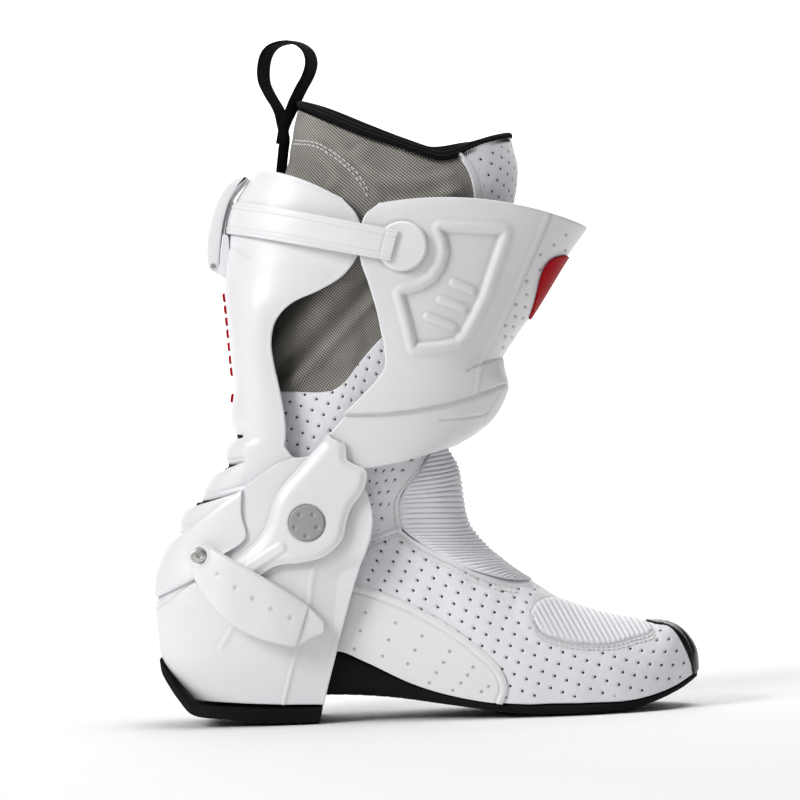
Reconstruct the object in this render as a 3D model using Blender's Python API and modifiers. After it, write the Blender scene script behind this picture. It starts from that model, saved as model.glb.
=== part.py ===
"""Road-racing motorcycle boot with a hinged ankle brace.

Right boot: toe along +X, up +Z, inner side of the foot +Y. The origin is on the ground at the
middle of the boot's length. Lengths in this file are in millimetres and are scaled once, when a
mesh is made.

Most shells are described by ribs. A rib runs from the apex, on the boot's mid plane, round one
side to the rib's end, along a superellipse. Mirror makes the other side and Solidify the wall.
"""
import math
from collections import namedtuple

import bmesh
import bpy
from mathutils import Matrix, Vector

MM = 0.001

# ---- driving dimensions ------------------------------------------------------------------
ANKLE_X = -63.5          # ankle hinge axis, along Y
ANKLE_Z = 111.2
PIN_RADIUS = 4.7
BORE_RADIUS = 5.1
CAP_RADIUS = 9.8
SCREW_X = -122.9         # heel lever screw axis, along Y
SCREW_Z = 95.5
BUCKLE_X = -111.0        # strap lever axis, along Y
BUCKLE_Z = 254.6
GAP = 0.3                # clearance between touching pieces

CUP_WIDTH = 46.6         # half widths, from the mid plane
ARM_INNER_Y = 48.0
ARM_OUTER_Y = 52.4
STRAP_WIDTH = 61.2
PLATE_WALL = 2.6         # wall of the hard plates
LAME_WALL = 1.3
LEATHER_WALL = 2.0
GUARD_WALL = 1.3

NAME = "racing_boot"


# ---- scene helpers -------------------------------------------------------------------------
def clear_scene():
    for obj in list(bpy.data.objects):
        bpy.data.objects.remove(obj, do_unlink=True)


def new_collection(name):
    group = bpy.data.collections.new(name)
    bpy.context.scene.collection.children.link(group)
    return group


def material(name, color, roughness, metallic=0.0):
    mat = bpy.data.materials.new(name)
    mat.use_nodes = True
    shader = mat.node_tree.nodes["Principled BSDF"]
    shader.inputs["Base Color"].default_value = (*color, 1.0)
    shader.inputs["Roughness"].default_value = roughness
    shader.inputs["Metallic"].default_value = metallic
    return mat


clear_scene()
PARTS = new_collection(NAME)
CUTTERS = new_collection(NAME + "_cutters")

WHITE_SHELL = (0.86, 0.86, 0.87)
WHITE_LEATHER = (0.84, 0.84, 0.88)
OFF_WHITE = (0.78, 0.77, 0.74)
BLACK = (0.015, 0.015, 0.017)
GREY_MESH = (0.30, 0.28, 0.26)
CAP_GREY = (0.36, 0.36, 0.37)
STEEL = (0.62, 0.61, 0.59)
RED = (0.62, 0.02, 0.05)


def add_part(name, mesh, color, roughness, metallic=0.0, pivot=None):
    """Make the mesh a named part. A moving part's origin goes to its pivot."""
    mesh.materials.append(material(name + "_material", color, roughness, metallic))
    obj = bpy.data.objects.new(name, mesh)
    PARTS.objects.link(obj)
    if pivot is not None:
        centre = Vector((pivot[0], 0.0, pivot[1])) * MM
        mesh.transform(Matrix.Translation(-centre))
        obj.location = centre
    mesh.shade_smooth()
    mesh.set_sharp_from_angle(angle=math.radians(35))
    return obj


def mesh_from(name, points, faces):
    mesh = bpy.data.meshes.new(name)
    mesh.from_pydata([tuple(c * MM for c in p) for p in points], [], faces)
    work = bmesh.new()
    work.from_mesh(mesh)
    bmesh.ops.remove_doubles(work, verts=work.verts, dist=0.00002)
    bmesh.ops.dissolve_degenerate(work, edges=work.edges, dist=0.00002)
    work.to_mesh(mesh)
    work.free()
    return mesh


def bevel(obj, width):
    mod = obj.modifiers.new("round_edges", "BEVEL")
    mod.width = width * MM
    mod.segments = 2
    mod.limit_method = "ANGLE"
    mod.angle_limit = math.radians(40)


def cut(obj, cutter):
    mod = obj.modifiers.new("cut", "BOOLEAN")
    mod.operation = "DIFFERENCE"
    mod.solver = "EXACT"
    mod.object = cutter


def make_cutter(name, mesh):
    obj = bpy.data.objects.new(name, mesh)
    CUTTERS.objects.link(obj)
    obj.hide_render = True
    obj.display_type = "WIRE"
    return obj


# ---- curves through a few points -----------------------------------------------------------
def curve(points):
    """A smooth function through (x, value) pairs, flat beyond its ends."""
    xs = [p[0] for p in points]
    values = [p[1] for p in points]
    slopes = []
    for i in range(len(points)):
        low = max(i - 1, 0)
        high = min(i + 1, len(points) - 1)
        slopes.append((values[high] - values[low]) / (xs[high] - xs[low]))

    def value_at(x):
        if x <= xs[0]:
            return values[0]
        if x >= xs[-1]:
            return values[-1]
        i = max(k for k in range(len(xs) - 1) if xs[k] <= x)
        span = xs[i + 1] - xs[i]
        t = (x - xs[i]) / span
        rise = values[i] * (1 - t) ** 2 * (1 + 2 * t) + values[i + 1] * t * t * (3 - 2 * t)
        return rise + span * (slopes[i] * t * (1 - t) ** 2 - slopes[i + 1] * t * t * (1 - t))

    return value_at


# ---- ribbed shells -------------------------------------------------------------------------
# apex_x, apex_z: the rib on the mid plane.  end_x, end_z: its end at the side.
# width: half width where the rib is widest.  arch: how far its middle rises above the chord.
# wide_x: where it is widest, if that is not its end.
# split_x, split_z: a place on the rib where a leg or an ear of the plate begins.
# cropped: the rib exists only from its split to its end.
Rib = namedtuple("Rib", "apex_x apex_z end_x end_z width arch wide_x split_x split_z cropped",
                 defaults=(0.0, None, None, None, False))


def rib_angle(rib, x, power):
    wide_x = rib.end_x if rib.wide_x is None else rib.wide_x
    reach = max((x - wide_x) / (rib.apex_x - wide_x), 0.0)
    return math.acos(min(reach, 1.0) ** (power / 2))


def rib_point(rib, column, columns, split, power):
    """The point of a rib in one column; the split lies on column number split."""
    wide_x = rib.end_x if rib.wide_x is None else rib.wide_x
    end = rib_angle(rib, rib.end_x, power)
    if rib.split_x is None:
        angle = end * column / (columns - 1)
    else:
        middle = rib_angle(rib, rib.split_x, power)
        if column <= split:
            angle = middle * column / split
        else:
            angle = middle + (end - middle) * (column - split) / (columns - 1 - split)
    x = wide_x + (rib.apex_x - wide_x) * max(math.cos(angle), 0.0) ** (2 / power)
    y = rib.width * math.sin(angle) ** (2 / power)
    if rib.split_z is None:
        s = (x - rib.end_x) / (rib.apex_x - rib.end_x)
        z = rib.end_z + (rib.apex_z - rib.end_z) * s + rib.arch * 4 * s * (1 - s)
    elif column <= split:
        s = (x - rib.split_x) / (rib.apex_x - rib.split_x)
        z = rib.split_z + (rib.apex_z - rib.split_z) * s
    else:
        s = (x - rib.end_x) / (rib.split_x - rib.end_x)
        z = rib.end_z + (rib.split_z - rib.end_z) * s
    return (x, y, z)


def grid_faces(rows, columns, flip=False):
    faces = []
    for i in range(rows - 1):
        for j in range(columns - 1):
            a = i * columns + j
            quad = (a, a + 1, a + columns + 1, a + columns)
            faces.append(quad[::-1] if flip else quad)
    return faces


def shell(name, grid, wall, color, roughness, flip=False, mirrored=True, pivot=None):
    """A wall of even thickness inside an open half surface, mirrored about the mid plane."""
    columns = len(grid[0])
    points = [p or (0.0, 0.0, 0.0) for row in grid for p in row]
    missing = {i * columns + j for i, row in enumerate(grid) for j in range(columns) if not row[j]}
    faces = [f for f in grid_faces(len(grid), columns, flip) if not missing.intersection(f)]
    used = sorted({k for face in faces for k in face})
    place = {k: n for n, k in enumerate(used)}
    mesh = mesh_from(name, [points[k] for k in used], [[place[k] for k in f] for f in faces])
    obj = add_part(name, mesh, color, roughness, pivot=pivot)
    if mirrored:
        mirror = obj.modifiers.new("other_side", "MIRROR")
        mirror.use_axis = (False, True, False)
        mirror.merge_threshold = 0.00005
    solid = obj.modifiers.new("wall", "SOLIDIFY")
    solid.thickness = wall * MM
    solid.offset = -1.0
    return obj


def rib_shell(name, ribs, wall, color, roughness, power=2.6, columns=9, split=4, pivot=None):
    grid = [[None if rib.cropped and j < split else rib_point(rib, j, columns, split, power)
             for j in range(columns)] for rib in ribs]
    faces_back = ribs[0].apex_x < ribs[0].end_x
    return shell(name, grid, wall, color, roughness, flip=not faces_back, pivot=pivot)


def rib_surface_y(ribs, x, z, power):
    """The outer half width of a ribbed shell at a place seen from the side."""
    low, high = 0.0, len(ribs) - 1.0
    for _ in range(30):
        middle = (low + high) / 2
        i = min(int(middle), len(ribs) - 2)
        a, b = ribs[i], ribs[i + 1]
        t = middle - i
        rib = Rib(*[p + (q - p) * t for p, q in zip(a[:6], b[:6])])
        s = (x - rib.end_x) / (rib.apex_x - rib.end_x)
        if rib.end_z + (rib.apex_z - rib.end_z) * s + rib.arch * 4 * s * (1 - s) > z:
            low = middle
        else:
            high = middle
    return rib.width * (1 - abs(s) ** power) ** (1 / power)


# ---- simple solids ---------------------------------------------------------------------------
def cylinder_y(x, z, y_low, y_high, radius, segments=24):
    work = bmesh.new()
    turn = Matrix.Rotation(math.radians(90), 4, "X")
    place = Matrix.Translation(Vector((x, (y_low + y_high) / 2, z)) * MM)
    bmesh.ops.create_cone(work, cap_ends=True, segments=segments, radius1=radius * MM,
                          radius2=radius * MM, depth=(y_high - y_low) * MM, matrix=place @ turn)
    mesh = bpy.data.meshes.new("cylinder")
    work.to_mesh(mesh)
    work.free()
    return mesh


def side_outline(name, outline, y_low, y_high):
    """A flat plate whose outline is drawn in the side view, as a mesh."""
    flat = bpy.data.curves.new(name, "CURVE")
    flat.dimensions = "2D"
    flat.fill_mode = "BOTH"
    flat.extrude = (y_high - y_low) / 2 * MM
    line = flat.splines.new("POLY")
    line.points.add(len(outline) - 1)
    for point, (x, z) in zip(line.points, outline):
        point.co = (x * MM, z * MM, 0.0, 1.0)
    line.use_cyclic_u = True
    obj = bpy.data.objects.new(name, flat)
    obj.matrix_world = (Matrix.Translation((0.0, (y_low + y_high) / 2 * MM, 0.0))
                        @ Matrix.Rotation(math.radians(90), 4, "X"))
    bpy.context.scene.collection.objects.link(obj)
    bpy.context.view_layer.update()
    depsgraph = bpy.context.evaluated_depsgraph_get()
    mesh = bpy.data.meshes.new_from_object(obj.evaluated_get(depsgraph))
    mesh.transform(obj.matrix_world)
    bpy.data.objects.remove(obj, do_unlink=True)
    work = bmesh.new()
    work.from_mesh(mesh)
    bmesh.ops.remove_doubles(work, verts=work.verts, dist=0.00002)
    work.to_mesh(mesh)
    work.free()
    return mesh


def mirror_mesh(mesh):
    """A copy of a mesh for the inner side of the foot."""
    other = mesh.copy()
    other.transform(Matrix.Scale(-1.0, 4, (0.0, 1.0, 0.0)))
    other.flip_normals()
    return other


def both_sides(name, mesh, color, roughness, metallic=0.0, pivot=None, finish=None):
    """Two parts from one mesh made on the outer side, at negative Y."""
    for side, copy in (("lateral", mesh), ("medial", mirror_mesh(mesh))):
        obj = add_part(name + "_" + side, copy, color, roughness, metallic, pivot)
        if finish is not None:
            finish(obj)


# ---- the foot ----------------------------------------------------------------------------------
SOLE_TOP = curve([(-144, 40), (-50, 39.6), (-35, 33.4), (-10, 20.7), (12, 13.2), (40, 7.9),
                  (73, 6.6), (112, 6.6), (135, 11.5), (151, 19)])
SOLE_BOTTOM = curve([(-144, 15), (-55, 14.5), (-22, 12.2), (12, 7.0), (50, 1.2), (75, 0.0),
                     (98, 0.0), (106, 0.6), (118, 2.4), (140, 10.0), (151, 16)])
FOOT_TOP = curve([(-60, 150), (0, 130), (30, 100.5), (44, 84.5), (59, 73.7), (75, 63), (92, 55.6),
                  (114, 49.8), (125, 47.6), (131, 47.4), (136.5, 46.2), (143, 42.2), (148, 36),
                  (150.4, 30.5), (151.2, 26)])
FOOT_WIDTH = curve([(-144, 0), (-142.5, 9), (-138, 17), (-130, 24.5), (-118, 30), (-100, 33.5),
                    (-75, 34.5), (-30, 34), (0, 37), (25, 42), (50, 46.5), (75, 48.5), (95, 46.5),
                    (115, 41), (130, 33), (141, 22), (147, 13), (150, 6), (151.2, 0)])
HEEL_REACH = curve([(14, 0.72), (24, 0.86), (37, 0.96), (50, 0.99), (60, 1.0), (75, 0.99),
                    (90, 0.94), (102, 0.875), (112, 0.80)])
TOE_SWING = 6.0          # how far the toe leans to the inner side
FOOT_OPENING = curve([(-144, 101), (-63.5, 109), (-40, 100.5), (-15, 90), (-9, 98), (15, 87.5),
                      (37, 76.5), (57, 73.4)])
VAMP_X = 57.0            # in front of this the upper closes over the foot
FOOT_POWER = 2.5         # roundness of the foot's cross-section


def toe_swing(x):
    t = min(max((x + 20) / 150, 0.0), 1.0)
    return TOE_SWING * t * t * (3 - 2 * t)


def foot_half_width(x, z):
    low = SOLE_TOP(x) + 0.8
    rise = min((z - low) / (FOOT_TOP(x) - low), 1.0)
    return FOOT_WIDTH(x) * (1 - rise ** FOOT_POWER) ** (1 / FOOT_POWER)


def foot_point(x, v):
    """A place on the foot's skin: v runs from the sole edge, 0, up to the top line, 1."""
    low = SOLE_TOP(x) + 0.8
    if x < VAMP_X:
        z = low + (FOOT_OPENING(x) - low) * v
        y = foot_half_width(x, z)
    else:
        angle = math.pi / 2 * v
        z = low + (FOOT_TOP(x) - low) * math.sin(angle) ** (2 / FOOT_POWER)
        y = FOOT_WIDTH(x) * max(math.cos(angle), 0.0) ** (2 / FOOT_POWER)
    if x < -60:
        x = -60 + (x + 60) * HEEL_REACH(z)
    return (x, -y, z)


def lean_toe(obj):
    """Swing the toe to the inner side, after both halves exist."""
    bpy.context.view_layer.objects.active = obj
    depsgraph = bpy.context.evaluated_depsgraph_get()
    mesh = bpy.data.meshes.new_from_object(obj.evaluated_get(depsgraph))
    obj.modifiers.clear()
    obj.data = mesh
    for vertex in mesh.vertices:
        vertex.co.y += toe_swing(vertex.co.x / MM) * MM


def foot_stations(x_low, x_high, count):
    """Stations along the foot, closer together at the heel and at the toe."""
    middle = (x_low + x_high) / 2
    half = (x_high - x_low) / 2
    return [middle - half * math.cos(math.pi * i / (count - 1)) for i in range(count)]


def foot_patch(name, x_low, x_high, count, wall, color, roughness):
    """The foot's skin from the sole edge up to the top line, between two stations."""
    columns = 8
    grid = [[foot_point(x, j / (columns - 1)) for j in range(columns)]
            for x in foot_stations(x_low, x_high, count)]
    obj = shell(name, grid, wall, color, roughness, flip=True)
    lean_toe(obj)
    return obj


TOE_CAP_X = 133.0


def build_foot_upper():
    foot_patch("foot_upper", -144, TOE_CAP_X - GAP, 26, LEATHER_WALL, WHITE_LEATHER, 0.55)


def build_toe_bumper():
    foot_patch("toe_bumper", TOE_CAP_X + GAP, 151.2, 7, PLATE_WALL, BLACK, 0.12)


def loft(name, sections, color, roughness):
    """A closed solid through rings with the same number of points."""
    count = len(sections[0])
    points = [p for ring in sections for p in ring]
    faces = []
    for i in range(len(sections) - 1):
        for j in range(count):
            k = (j + 1) % count
            faces.append((i * count + j, i * count + k, (i + 1) * count + k, (i + 1) * count + j))
    faces.append(tuple(range(count))[::-1])
    faces.append(tuple((len(sections) - 1) * count + j for j in range(count)))
    mesh = mesh_from(name, points, faces)
    work = bmesh.new()
    work.from_mesh(mesh)
    bmesh.ops.recalc_face_normals(work, faces=work.faces)
    work.to_mesh(mesh)
    work.free()
    return add_part(name, mesh, color, roughness)


def sole_layer(name, x_low, x_high, count, bottom, top, inset, color, roughness):
    """A layer that follows the foot's plan, from one height to another."""
    sections = []
    for x in foot_stations(x_low, x_high, count):
        half = max(FOOT_WIDTH(x) - inset, 4.2)
        z_low, z_high = max(bottom(x), 0.0), top(x)
        soft = min(2.0, (z_high - z_low) / 6)
        y = toe_swing(x)
        tuck = 3.0 + soft
        ring = [(y - half + tuck, z_low), (y + half - tuck, z_low), (y + half, z_low + soft * 3),
                (y + half, z_high), (y - half, z_high), (y - half, z_low + soft * 3)]
        sections.append([(-60 + (x + 60) * HEEL_REACH(b) * 0.97 if x < -60 else x, a, b)
                         for a, b in ring])
    return loft(name, sections, color, roughness)


def build_soles():
    sole_layer("outsole", -143.6, 150.6, 24, SOLE_BOTTOM, SOLE_TOP, 0.0, BLACK, 0.6)
    sole_layer("shank_plate", -125, 40, 20, lambda x: SOLE_TOP(x) + 1.0,
               lambda x: SOLE_TOP(x) + 2.4, 7.0, STEEL, 0.4)
    sole_layer("footbed", -134, 136, 26,
               lambda x: SOLE_TOP(x) + 4.4, lambda x: SOLE_TOP(x) + 8.0, 5.0, BLACK, 0.8)


GUARD_TOP = curve([(-62, 78), (-37, 75), (-14, 65.7), (0, 58.5), (13.3, 50.1), (27, 39.5),
                   (37.7, 29.1), (42.0, 21.0)])


def build_side_guards():
    """Plates on the sides of the foot, just outside the leather."""
    columns = 6
    grid = []
    for x in (-62, -50, -37, -25, -14, 0, 13, 27, 37, 42):
        low = SOLE_TOP(x) + 0.8
        high = GUARD_TOP(x)
        row = []
        for j in range(columns):
            z = low + (high - low) * j / (columns - 1)
            row.append((x, -foot_half_width(x, z) - GAP - GUARD_WALL, z))
        grid.append(row)
    for side, sign in (("lateral", 1), ("medial", -1)):
        placed = [[(x, sign * y + toe_swing(x), z) for x, y, z in row] for row in grid]
        shell("side_guard_" + side, placed, GUARD_WALL, OFF_WHITE, 0.45, flip=sign > 0,
              mirrored=False)


def build_toe_flex_panel():
    """The ribbed oval on top of the toes."""
    low = curve([(57.6, 0.66), (64, 0.45), (75, 0.38), (92, 0.38), (104, 0.46), (114, 0.56),
                 (124, 0.78)])
    grid = []
    for x in foot_stations(57.6, 124, 9):
        row = []
        for j in range(7):
            px, py, pz = foot_point(x, low(x) + (1.0 - low(x)) * j / 6)
            lift = GAP + 1.6
            slope = math.atan2(-py, 30)
            row.append((px, py - lift * math.sin(slope) if py < -0.01 else 0.0, pz + lift))
        grid.append(row)
    obj = shell("toe_flex_panel", grid, 1.2, WHITE_LEATHER, 0.6, flip=True)
    lean_toe(obj)


# ---- the bootie's shaft ----------------------------------------------------------------------
SHAFT_REAR = curve([(110, -124.5), (125, -113.5), (137, -105), (150, -98.5), (165, -95.5),
                    (180, -93.5), (200, -92.5), (225, -89), (250, -85), (275, -79), (300, -71),
                    (320, -66), (346, -60)])
SHAFT_FRONT = curve([(110, 21), (125, 20), (137, 18), (150, 15), (165, 20), (180, 27), (200, 33),
                     (225, 41), (250, 48), (275, 55), (300, 60), (320, 57), (346, 52)])
SHAFT_WIDTH = curve([(110, 34.5), (137, 35), (150, 36.5), (165, 38.5), (180, 40.5), (200, 42),
                     (225, 44.5), (250, 46.0), (275, 46.8), (300, 48), (346, 48)])
MESH_EDGE = curve([(-100, 183), (-75, 183), (-49, 182), (-40, 187), (-32, 197), (-18, 211),
                   (0, 222), (45, 236)])
BINDING_EDGE = curve([(-66, 346), (-60, 341.5), (-49, 334.8), (-27, 323.4), (-5, 314.7), (6, 310.4),
                      (17, 307.2), (25.6, 308.6), (34, 312.2), (45, 316.2), (56, 319.5)])
COLLAR_EDGE = curve([(-66, 350.5), (-60, 346), (-43, 339), (-21, 328.8), (0, 319.8), (17, 314.5),
                     (34, 317.8), (46, 321.3), (56, 324)])
PANEL_EDGE = curve([(113, -13.5), (120, -13), (127, -10), (136, -2), (145, 3.0), (150, 4),
                    (200, 14), (250, 27), (283, 35.4), (292, 35.4), (302, 32.6), (312, 26)])
SHAFT_POWER = 2.3


def shaft_point(column, z, offset=0.0):
    """A place on the bootie's shaft: column runs from the rear, 0, to the front, 1."""
    rear, front, width = SHAFT_REAR(z), SHAFT_FRONT(z), SHAFT_WIDTH(z)
    cosine = math.cos(math.pi * column)
    sine = math.sin(math.pi * column)
    away = abs(cosine) ** (2 / SHAFT_POWER) * (1 if cosine > 0 else -1)
    side = sine ** (2 / SHAFT_POWER) if column < 0.9999 else 0.0
    x = (rear + front) / 2 - ((front - rear) / 2 + offset) * away
    return (x, -(width + offset) * side if side > 0 else 0.0, z)


def shaft_column(x, z):
    rear, front = SHAFT_REAR(z), SHAFT_FRONT(z)
    away = ((rear + front) / 2 - x) / ((front - rear) / 2)
    cosine = abs(away) ** (SHAFT_POWER / 2) * (1 if away > 0 else -1)
    return math.acos(max(min(cosine, 1.0), -1.0)) / math.pi


def shaft_panel(name, bottom, top, rows, columns, front, wall, color, offset=0.0):
    """A panel of the shaft between two edges, behind or in front of the tongue seam."""
    grid = []
    for i in range(rows):
        row = []
        for j in range(columns):
            x, z = 0.0, bottom(0.0)
            for _ in range(12):
                z = bottom(x) + (top(x) - bottom(x)) * i / (rows - 1)
                if front == "ring":
                    column = j / (columns - 1)
                elif front:
                    seam = shaft_column(PANEL_EDGE(z) + 1.1, z)
                    column = seam + (1 - seam) * j / (columns - 1)
                else:
                    column = shaft_column(PANEL_EDGE(z) - 0.4, z) * j / (columns - 1)
                x = 0.5 * x + 0.5 * shaft_point(column, z)[0]
            z = bottom(x) + (top(x) - bottom(x)) * i / (rows - 1)
            row.append(shaft_point(column, z, offset))
        grid.append(row)
    return shell(name, grid, wall, color, 0.7, flip=False, pivot=(ANKLE_X, ANKLE_Z))


SHAFT_FOOT_Z = 112.8


def build_shaft():
    shaft_panel("leather_ankle", lambda x: SHAFT_FOOT_Z, lambda x: MESH_EDGE(x) - GAP, 8, 12,
                False, LEATHER_WALL, WHITE_LEATHER)
    shaft_panel("mesh_shaft", lambda x: MESH_EDGE(x) + GAP, lambda x: BINDING_EDGE(x) - 0.9, 9, 12,
                False, LEATHER_WALL, GREY_MESH)
    shaft_panel("shin_tongue", lambda x: 149.5, lambda x: BINDING_EDGE(x) - 0.9, 10, 7,
                True, LEATHER_WALL, WHITE_LEATHER)
    shaft_panel("collar_binding", BINDING_EDGE, COLLAR_EDGE, 2, 18, "ring", 4.0, BLACK, offset=0.8)


def build_instep_flex_panel():
    """The ribbed stretch panel in front of the ankle."""
    ribs = [Rib(14.6, 147.5, 4.4, 146, 28.0), Rib(20, 140.5, -0.6, 138, 31.5),
            Rib(22, 133, -8.2, 129, 33.0), Rib(23.6, 120, -11.7, 119.5, 34.0),
            Rib(25, 111, -11.7, 111, 34.2), Rib(28, 103.4, -11.0, 106.5, 34.2),
            Rib(37, 91.8, 3.6, 95.5, 31.0), Rib(44, 85.5, 25.6, 83.5, 25.0),
            Rib(51, 79.8, 42, 77.5, 16.0), Rib(55.6, 76.4, 52.0, 76.0, 6.0)]
    rib_shell("instep_flex_panel", ribs, 1.6, WHITE_LEATHER, 0.6, power=2.3, columns=8)


def build_achilles_gaiter():
    """The black elastic between the bootie and the lames."""
    ribs = [Rib(-98.4, 160, -86, 163, 28.6), Rib(-101.0, 150, -86, 153, 29.4),
            Rib(-107.8, 137, -86, 142, 30.6), Rib(-116.3, 126, -86, 132, 32.0),
            Rib(-127.0, 113.6, -86, 119, 33.0)]
    rib_shell("achilles_gaiter", ribs, 1.0, BLACK, 0.8, power=2.2, columns=7)


def ribbon_loop(name, path, width, thickness, color):
    """A closed loop of webbing whose width lies along Y."""
    count = len(path)
    rings = []
    for i in range(count):
        before = Vector(path[i - 1])
        after = Vector(path[(i + 1) % count])
        along = (after - before).normalized()
        out = Vector((-along.y, along.x)) * thickness / 2
        x, z = path[i]
        half = width / 2
        rings.append([(x + out.x, -half, z + out.y), (x + out.x, half, z + out.y),
                      (x - out.x, half, z - out.y), (x - out.x, -half, z - out.y)])
    points = [p for ring in rings for p in ring]
    faces = []
    for i in range(count):
        n = (i + 1) % count
        for j in range(4):
            k = (j + 1) % 4
            faces.append((i * 4 + j, n * 4 + j, n * 4 + k, i * 4 + k))
    mesh = mesh_from(name, points, faces)
    work = bmesh.new()
    work.from_mesh(mesh)
    bmesh.ops.recalc_face_normals(work, faces=work.faces)
    work.to_mesh(mesh)
    work.free()
    return add_part(name, mesh, color, 0.8, pivot=(ANKLE_X, ANKLE_Z))


def build_pull_loop():
    loop = [(-70.6, 352.4), (-75.5, 348), (-79.2, 357), (-79.9, 366), (-76.5, 374), (-69.5, 378.8),
            (-61, 378.4), (-55, 373), (-53.6, 366), (-56, 358.5), (-60.8, 352.6), (-65.5, 351.2)]
    ribbon_loop("pull_loop", loop, 16.0, 2.0, BLACK)


# ---- the heel cup ------------------------------------------------------------------------------
CUP_RIBS = [
    Rib(-140, 147, -57.5, 146.8, CUP_WIDTH, 0, None, -69.5, 146.8, True),
    Rib(-140, 142, -46, 142.6, CUP_WIDTH, 0, None, -81.0, 142.6, True),
    Rib(-140, 136, -37.2, 136.4, CUP_WIDTH, 0, None, -89.8, 136.4, True),
    Rib(-139.4, 102.4, -31.0, 127.0, CUP_WIDTH, 0, None, -98.4, 129.8),
    Rib(-141.4, 99.0, -28.6, 119.0, CUP_WIDTH, 0, None, -98.4, 121.0),
    Rib(-143.3, 95.0, -27.9, 111.0, CUP_WIDTH, 0, None, -98.4, 112.0),
    Rib(-146.4, 88.0, -30.0, 100.0, CUP_WIDTH, 2),
    Rib(-148.8, 78.0, -37.0, 82.0, CUP_WIDTH, 1),
    Rib(-149.1, 71.2, -40.5, 72.0, CUP_WIDTH - 0.4),
    Rib(-150.8, 68.2, -42.0, 67.0, CUP_WIDTH - 0.8),
    Rib(-150.2, 54.0, -46.5, 52.0, CUP_WIDTH - 2.2),
    Rib(-148.2, 38.0, -50.3, 38.0, CUP_WIDTH - 4.5),
    Rib(-139.5, 24.6, -54.5, 24.0, CUP_WIDTH - 7.5),
    Rib(-130.6, 14.4, -58.5, 10.4, CUP_WIDTH - 10.0),
]
CUP_POWER = 3.2


def ankle_bore():
    return make_cutter("ankle_bore", cylinder_y(ANKLE_X, ANKLE_Z, -70, 70, BORE_RADIUS, 24))


def build_heel_cup(bore):
    cup = rib_shell("heel_cup", CUP_RIBS, PLATE_WALL, WHITE_SHELL, 0.35, power=CUP_POWER,
                    columns=14, split=5)
    cut(cup, bore)


def build_heel_yoke():
    """The raised band round the top of the heel cup."""
    out = 2.0
    ribs = [Rib(-141.6, 102.4, -99.0, 130.4, CUP_WIDTH + out, 0, -31.0),
            Rib(-145.6, 95.0, -99.8, 117.0, CUP_WIDTH + out, 0, -27.9),
            Rib(-148.6, 88.0, -98.0, 104.0, CUP_WIDTH + out, 0, -30.0),
            Rib(-151.0, 78.0, -110.0, 95.4, CUP_WIDTH + out, 0, -37.0),
            Rib(-151.4, 71.5, -124.0, 83.6, CUP_WIDTH + out, 0, -40.5)]
    rib_shell("heel_yoke", ribs, 1.6, WHITE_SHELL, 0.35, power=CUP_POWER, columns=10)


def build_heel_sole():
    """The black rubber under the heel cup; the bootie's heel stands on it."""
    tread = [(-149.2, 36.4), (-148.2, 29.5), (-143.7, 21.6), (-138.2, 13.8), (-132.9, 7.5),
             (-127.5, 5.2), (-111.7, 3.3), (-95.0, 1.0), (-75.0, 0.0), (-61.0, 0.0)]
    top = [(-148.8, 37.6), (-144.9, 30.8), (-140.4, 23.8), (-135.8, 17.6), (-131.2, 12.6),
           (-126.0, 11.8), (-111.0, 11.2), (-94.0, 10.5), (-75.0, 9.8), (-59.2, 9.6)]
    width = curve([(-149, 12), (-143, 20), (-135, 26.5), (-120, 31), (-95, 34.5), (-59, 36.2)])
    sections = [[(a, -width(a), b), (a, width(a), b), (c, width(c), d), (c, -width(c), d)]
                for (a, b), (c, d) in zip(tread, top)]
    base = loft("heel_sole", sections, BLACK, 0.6)
    bevel(base, 1.0)


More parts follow.
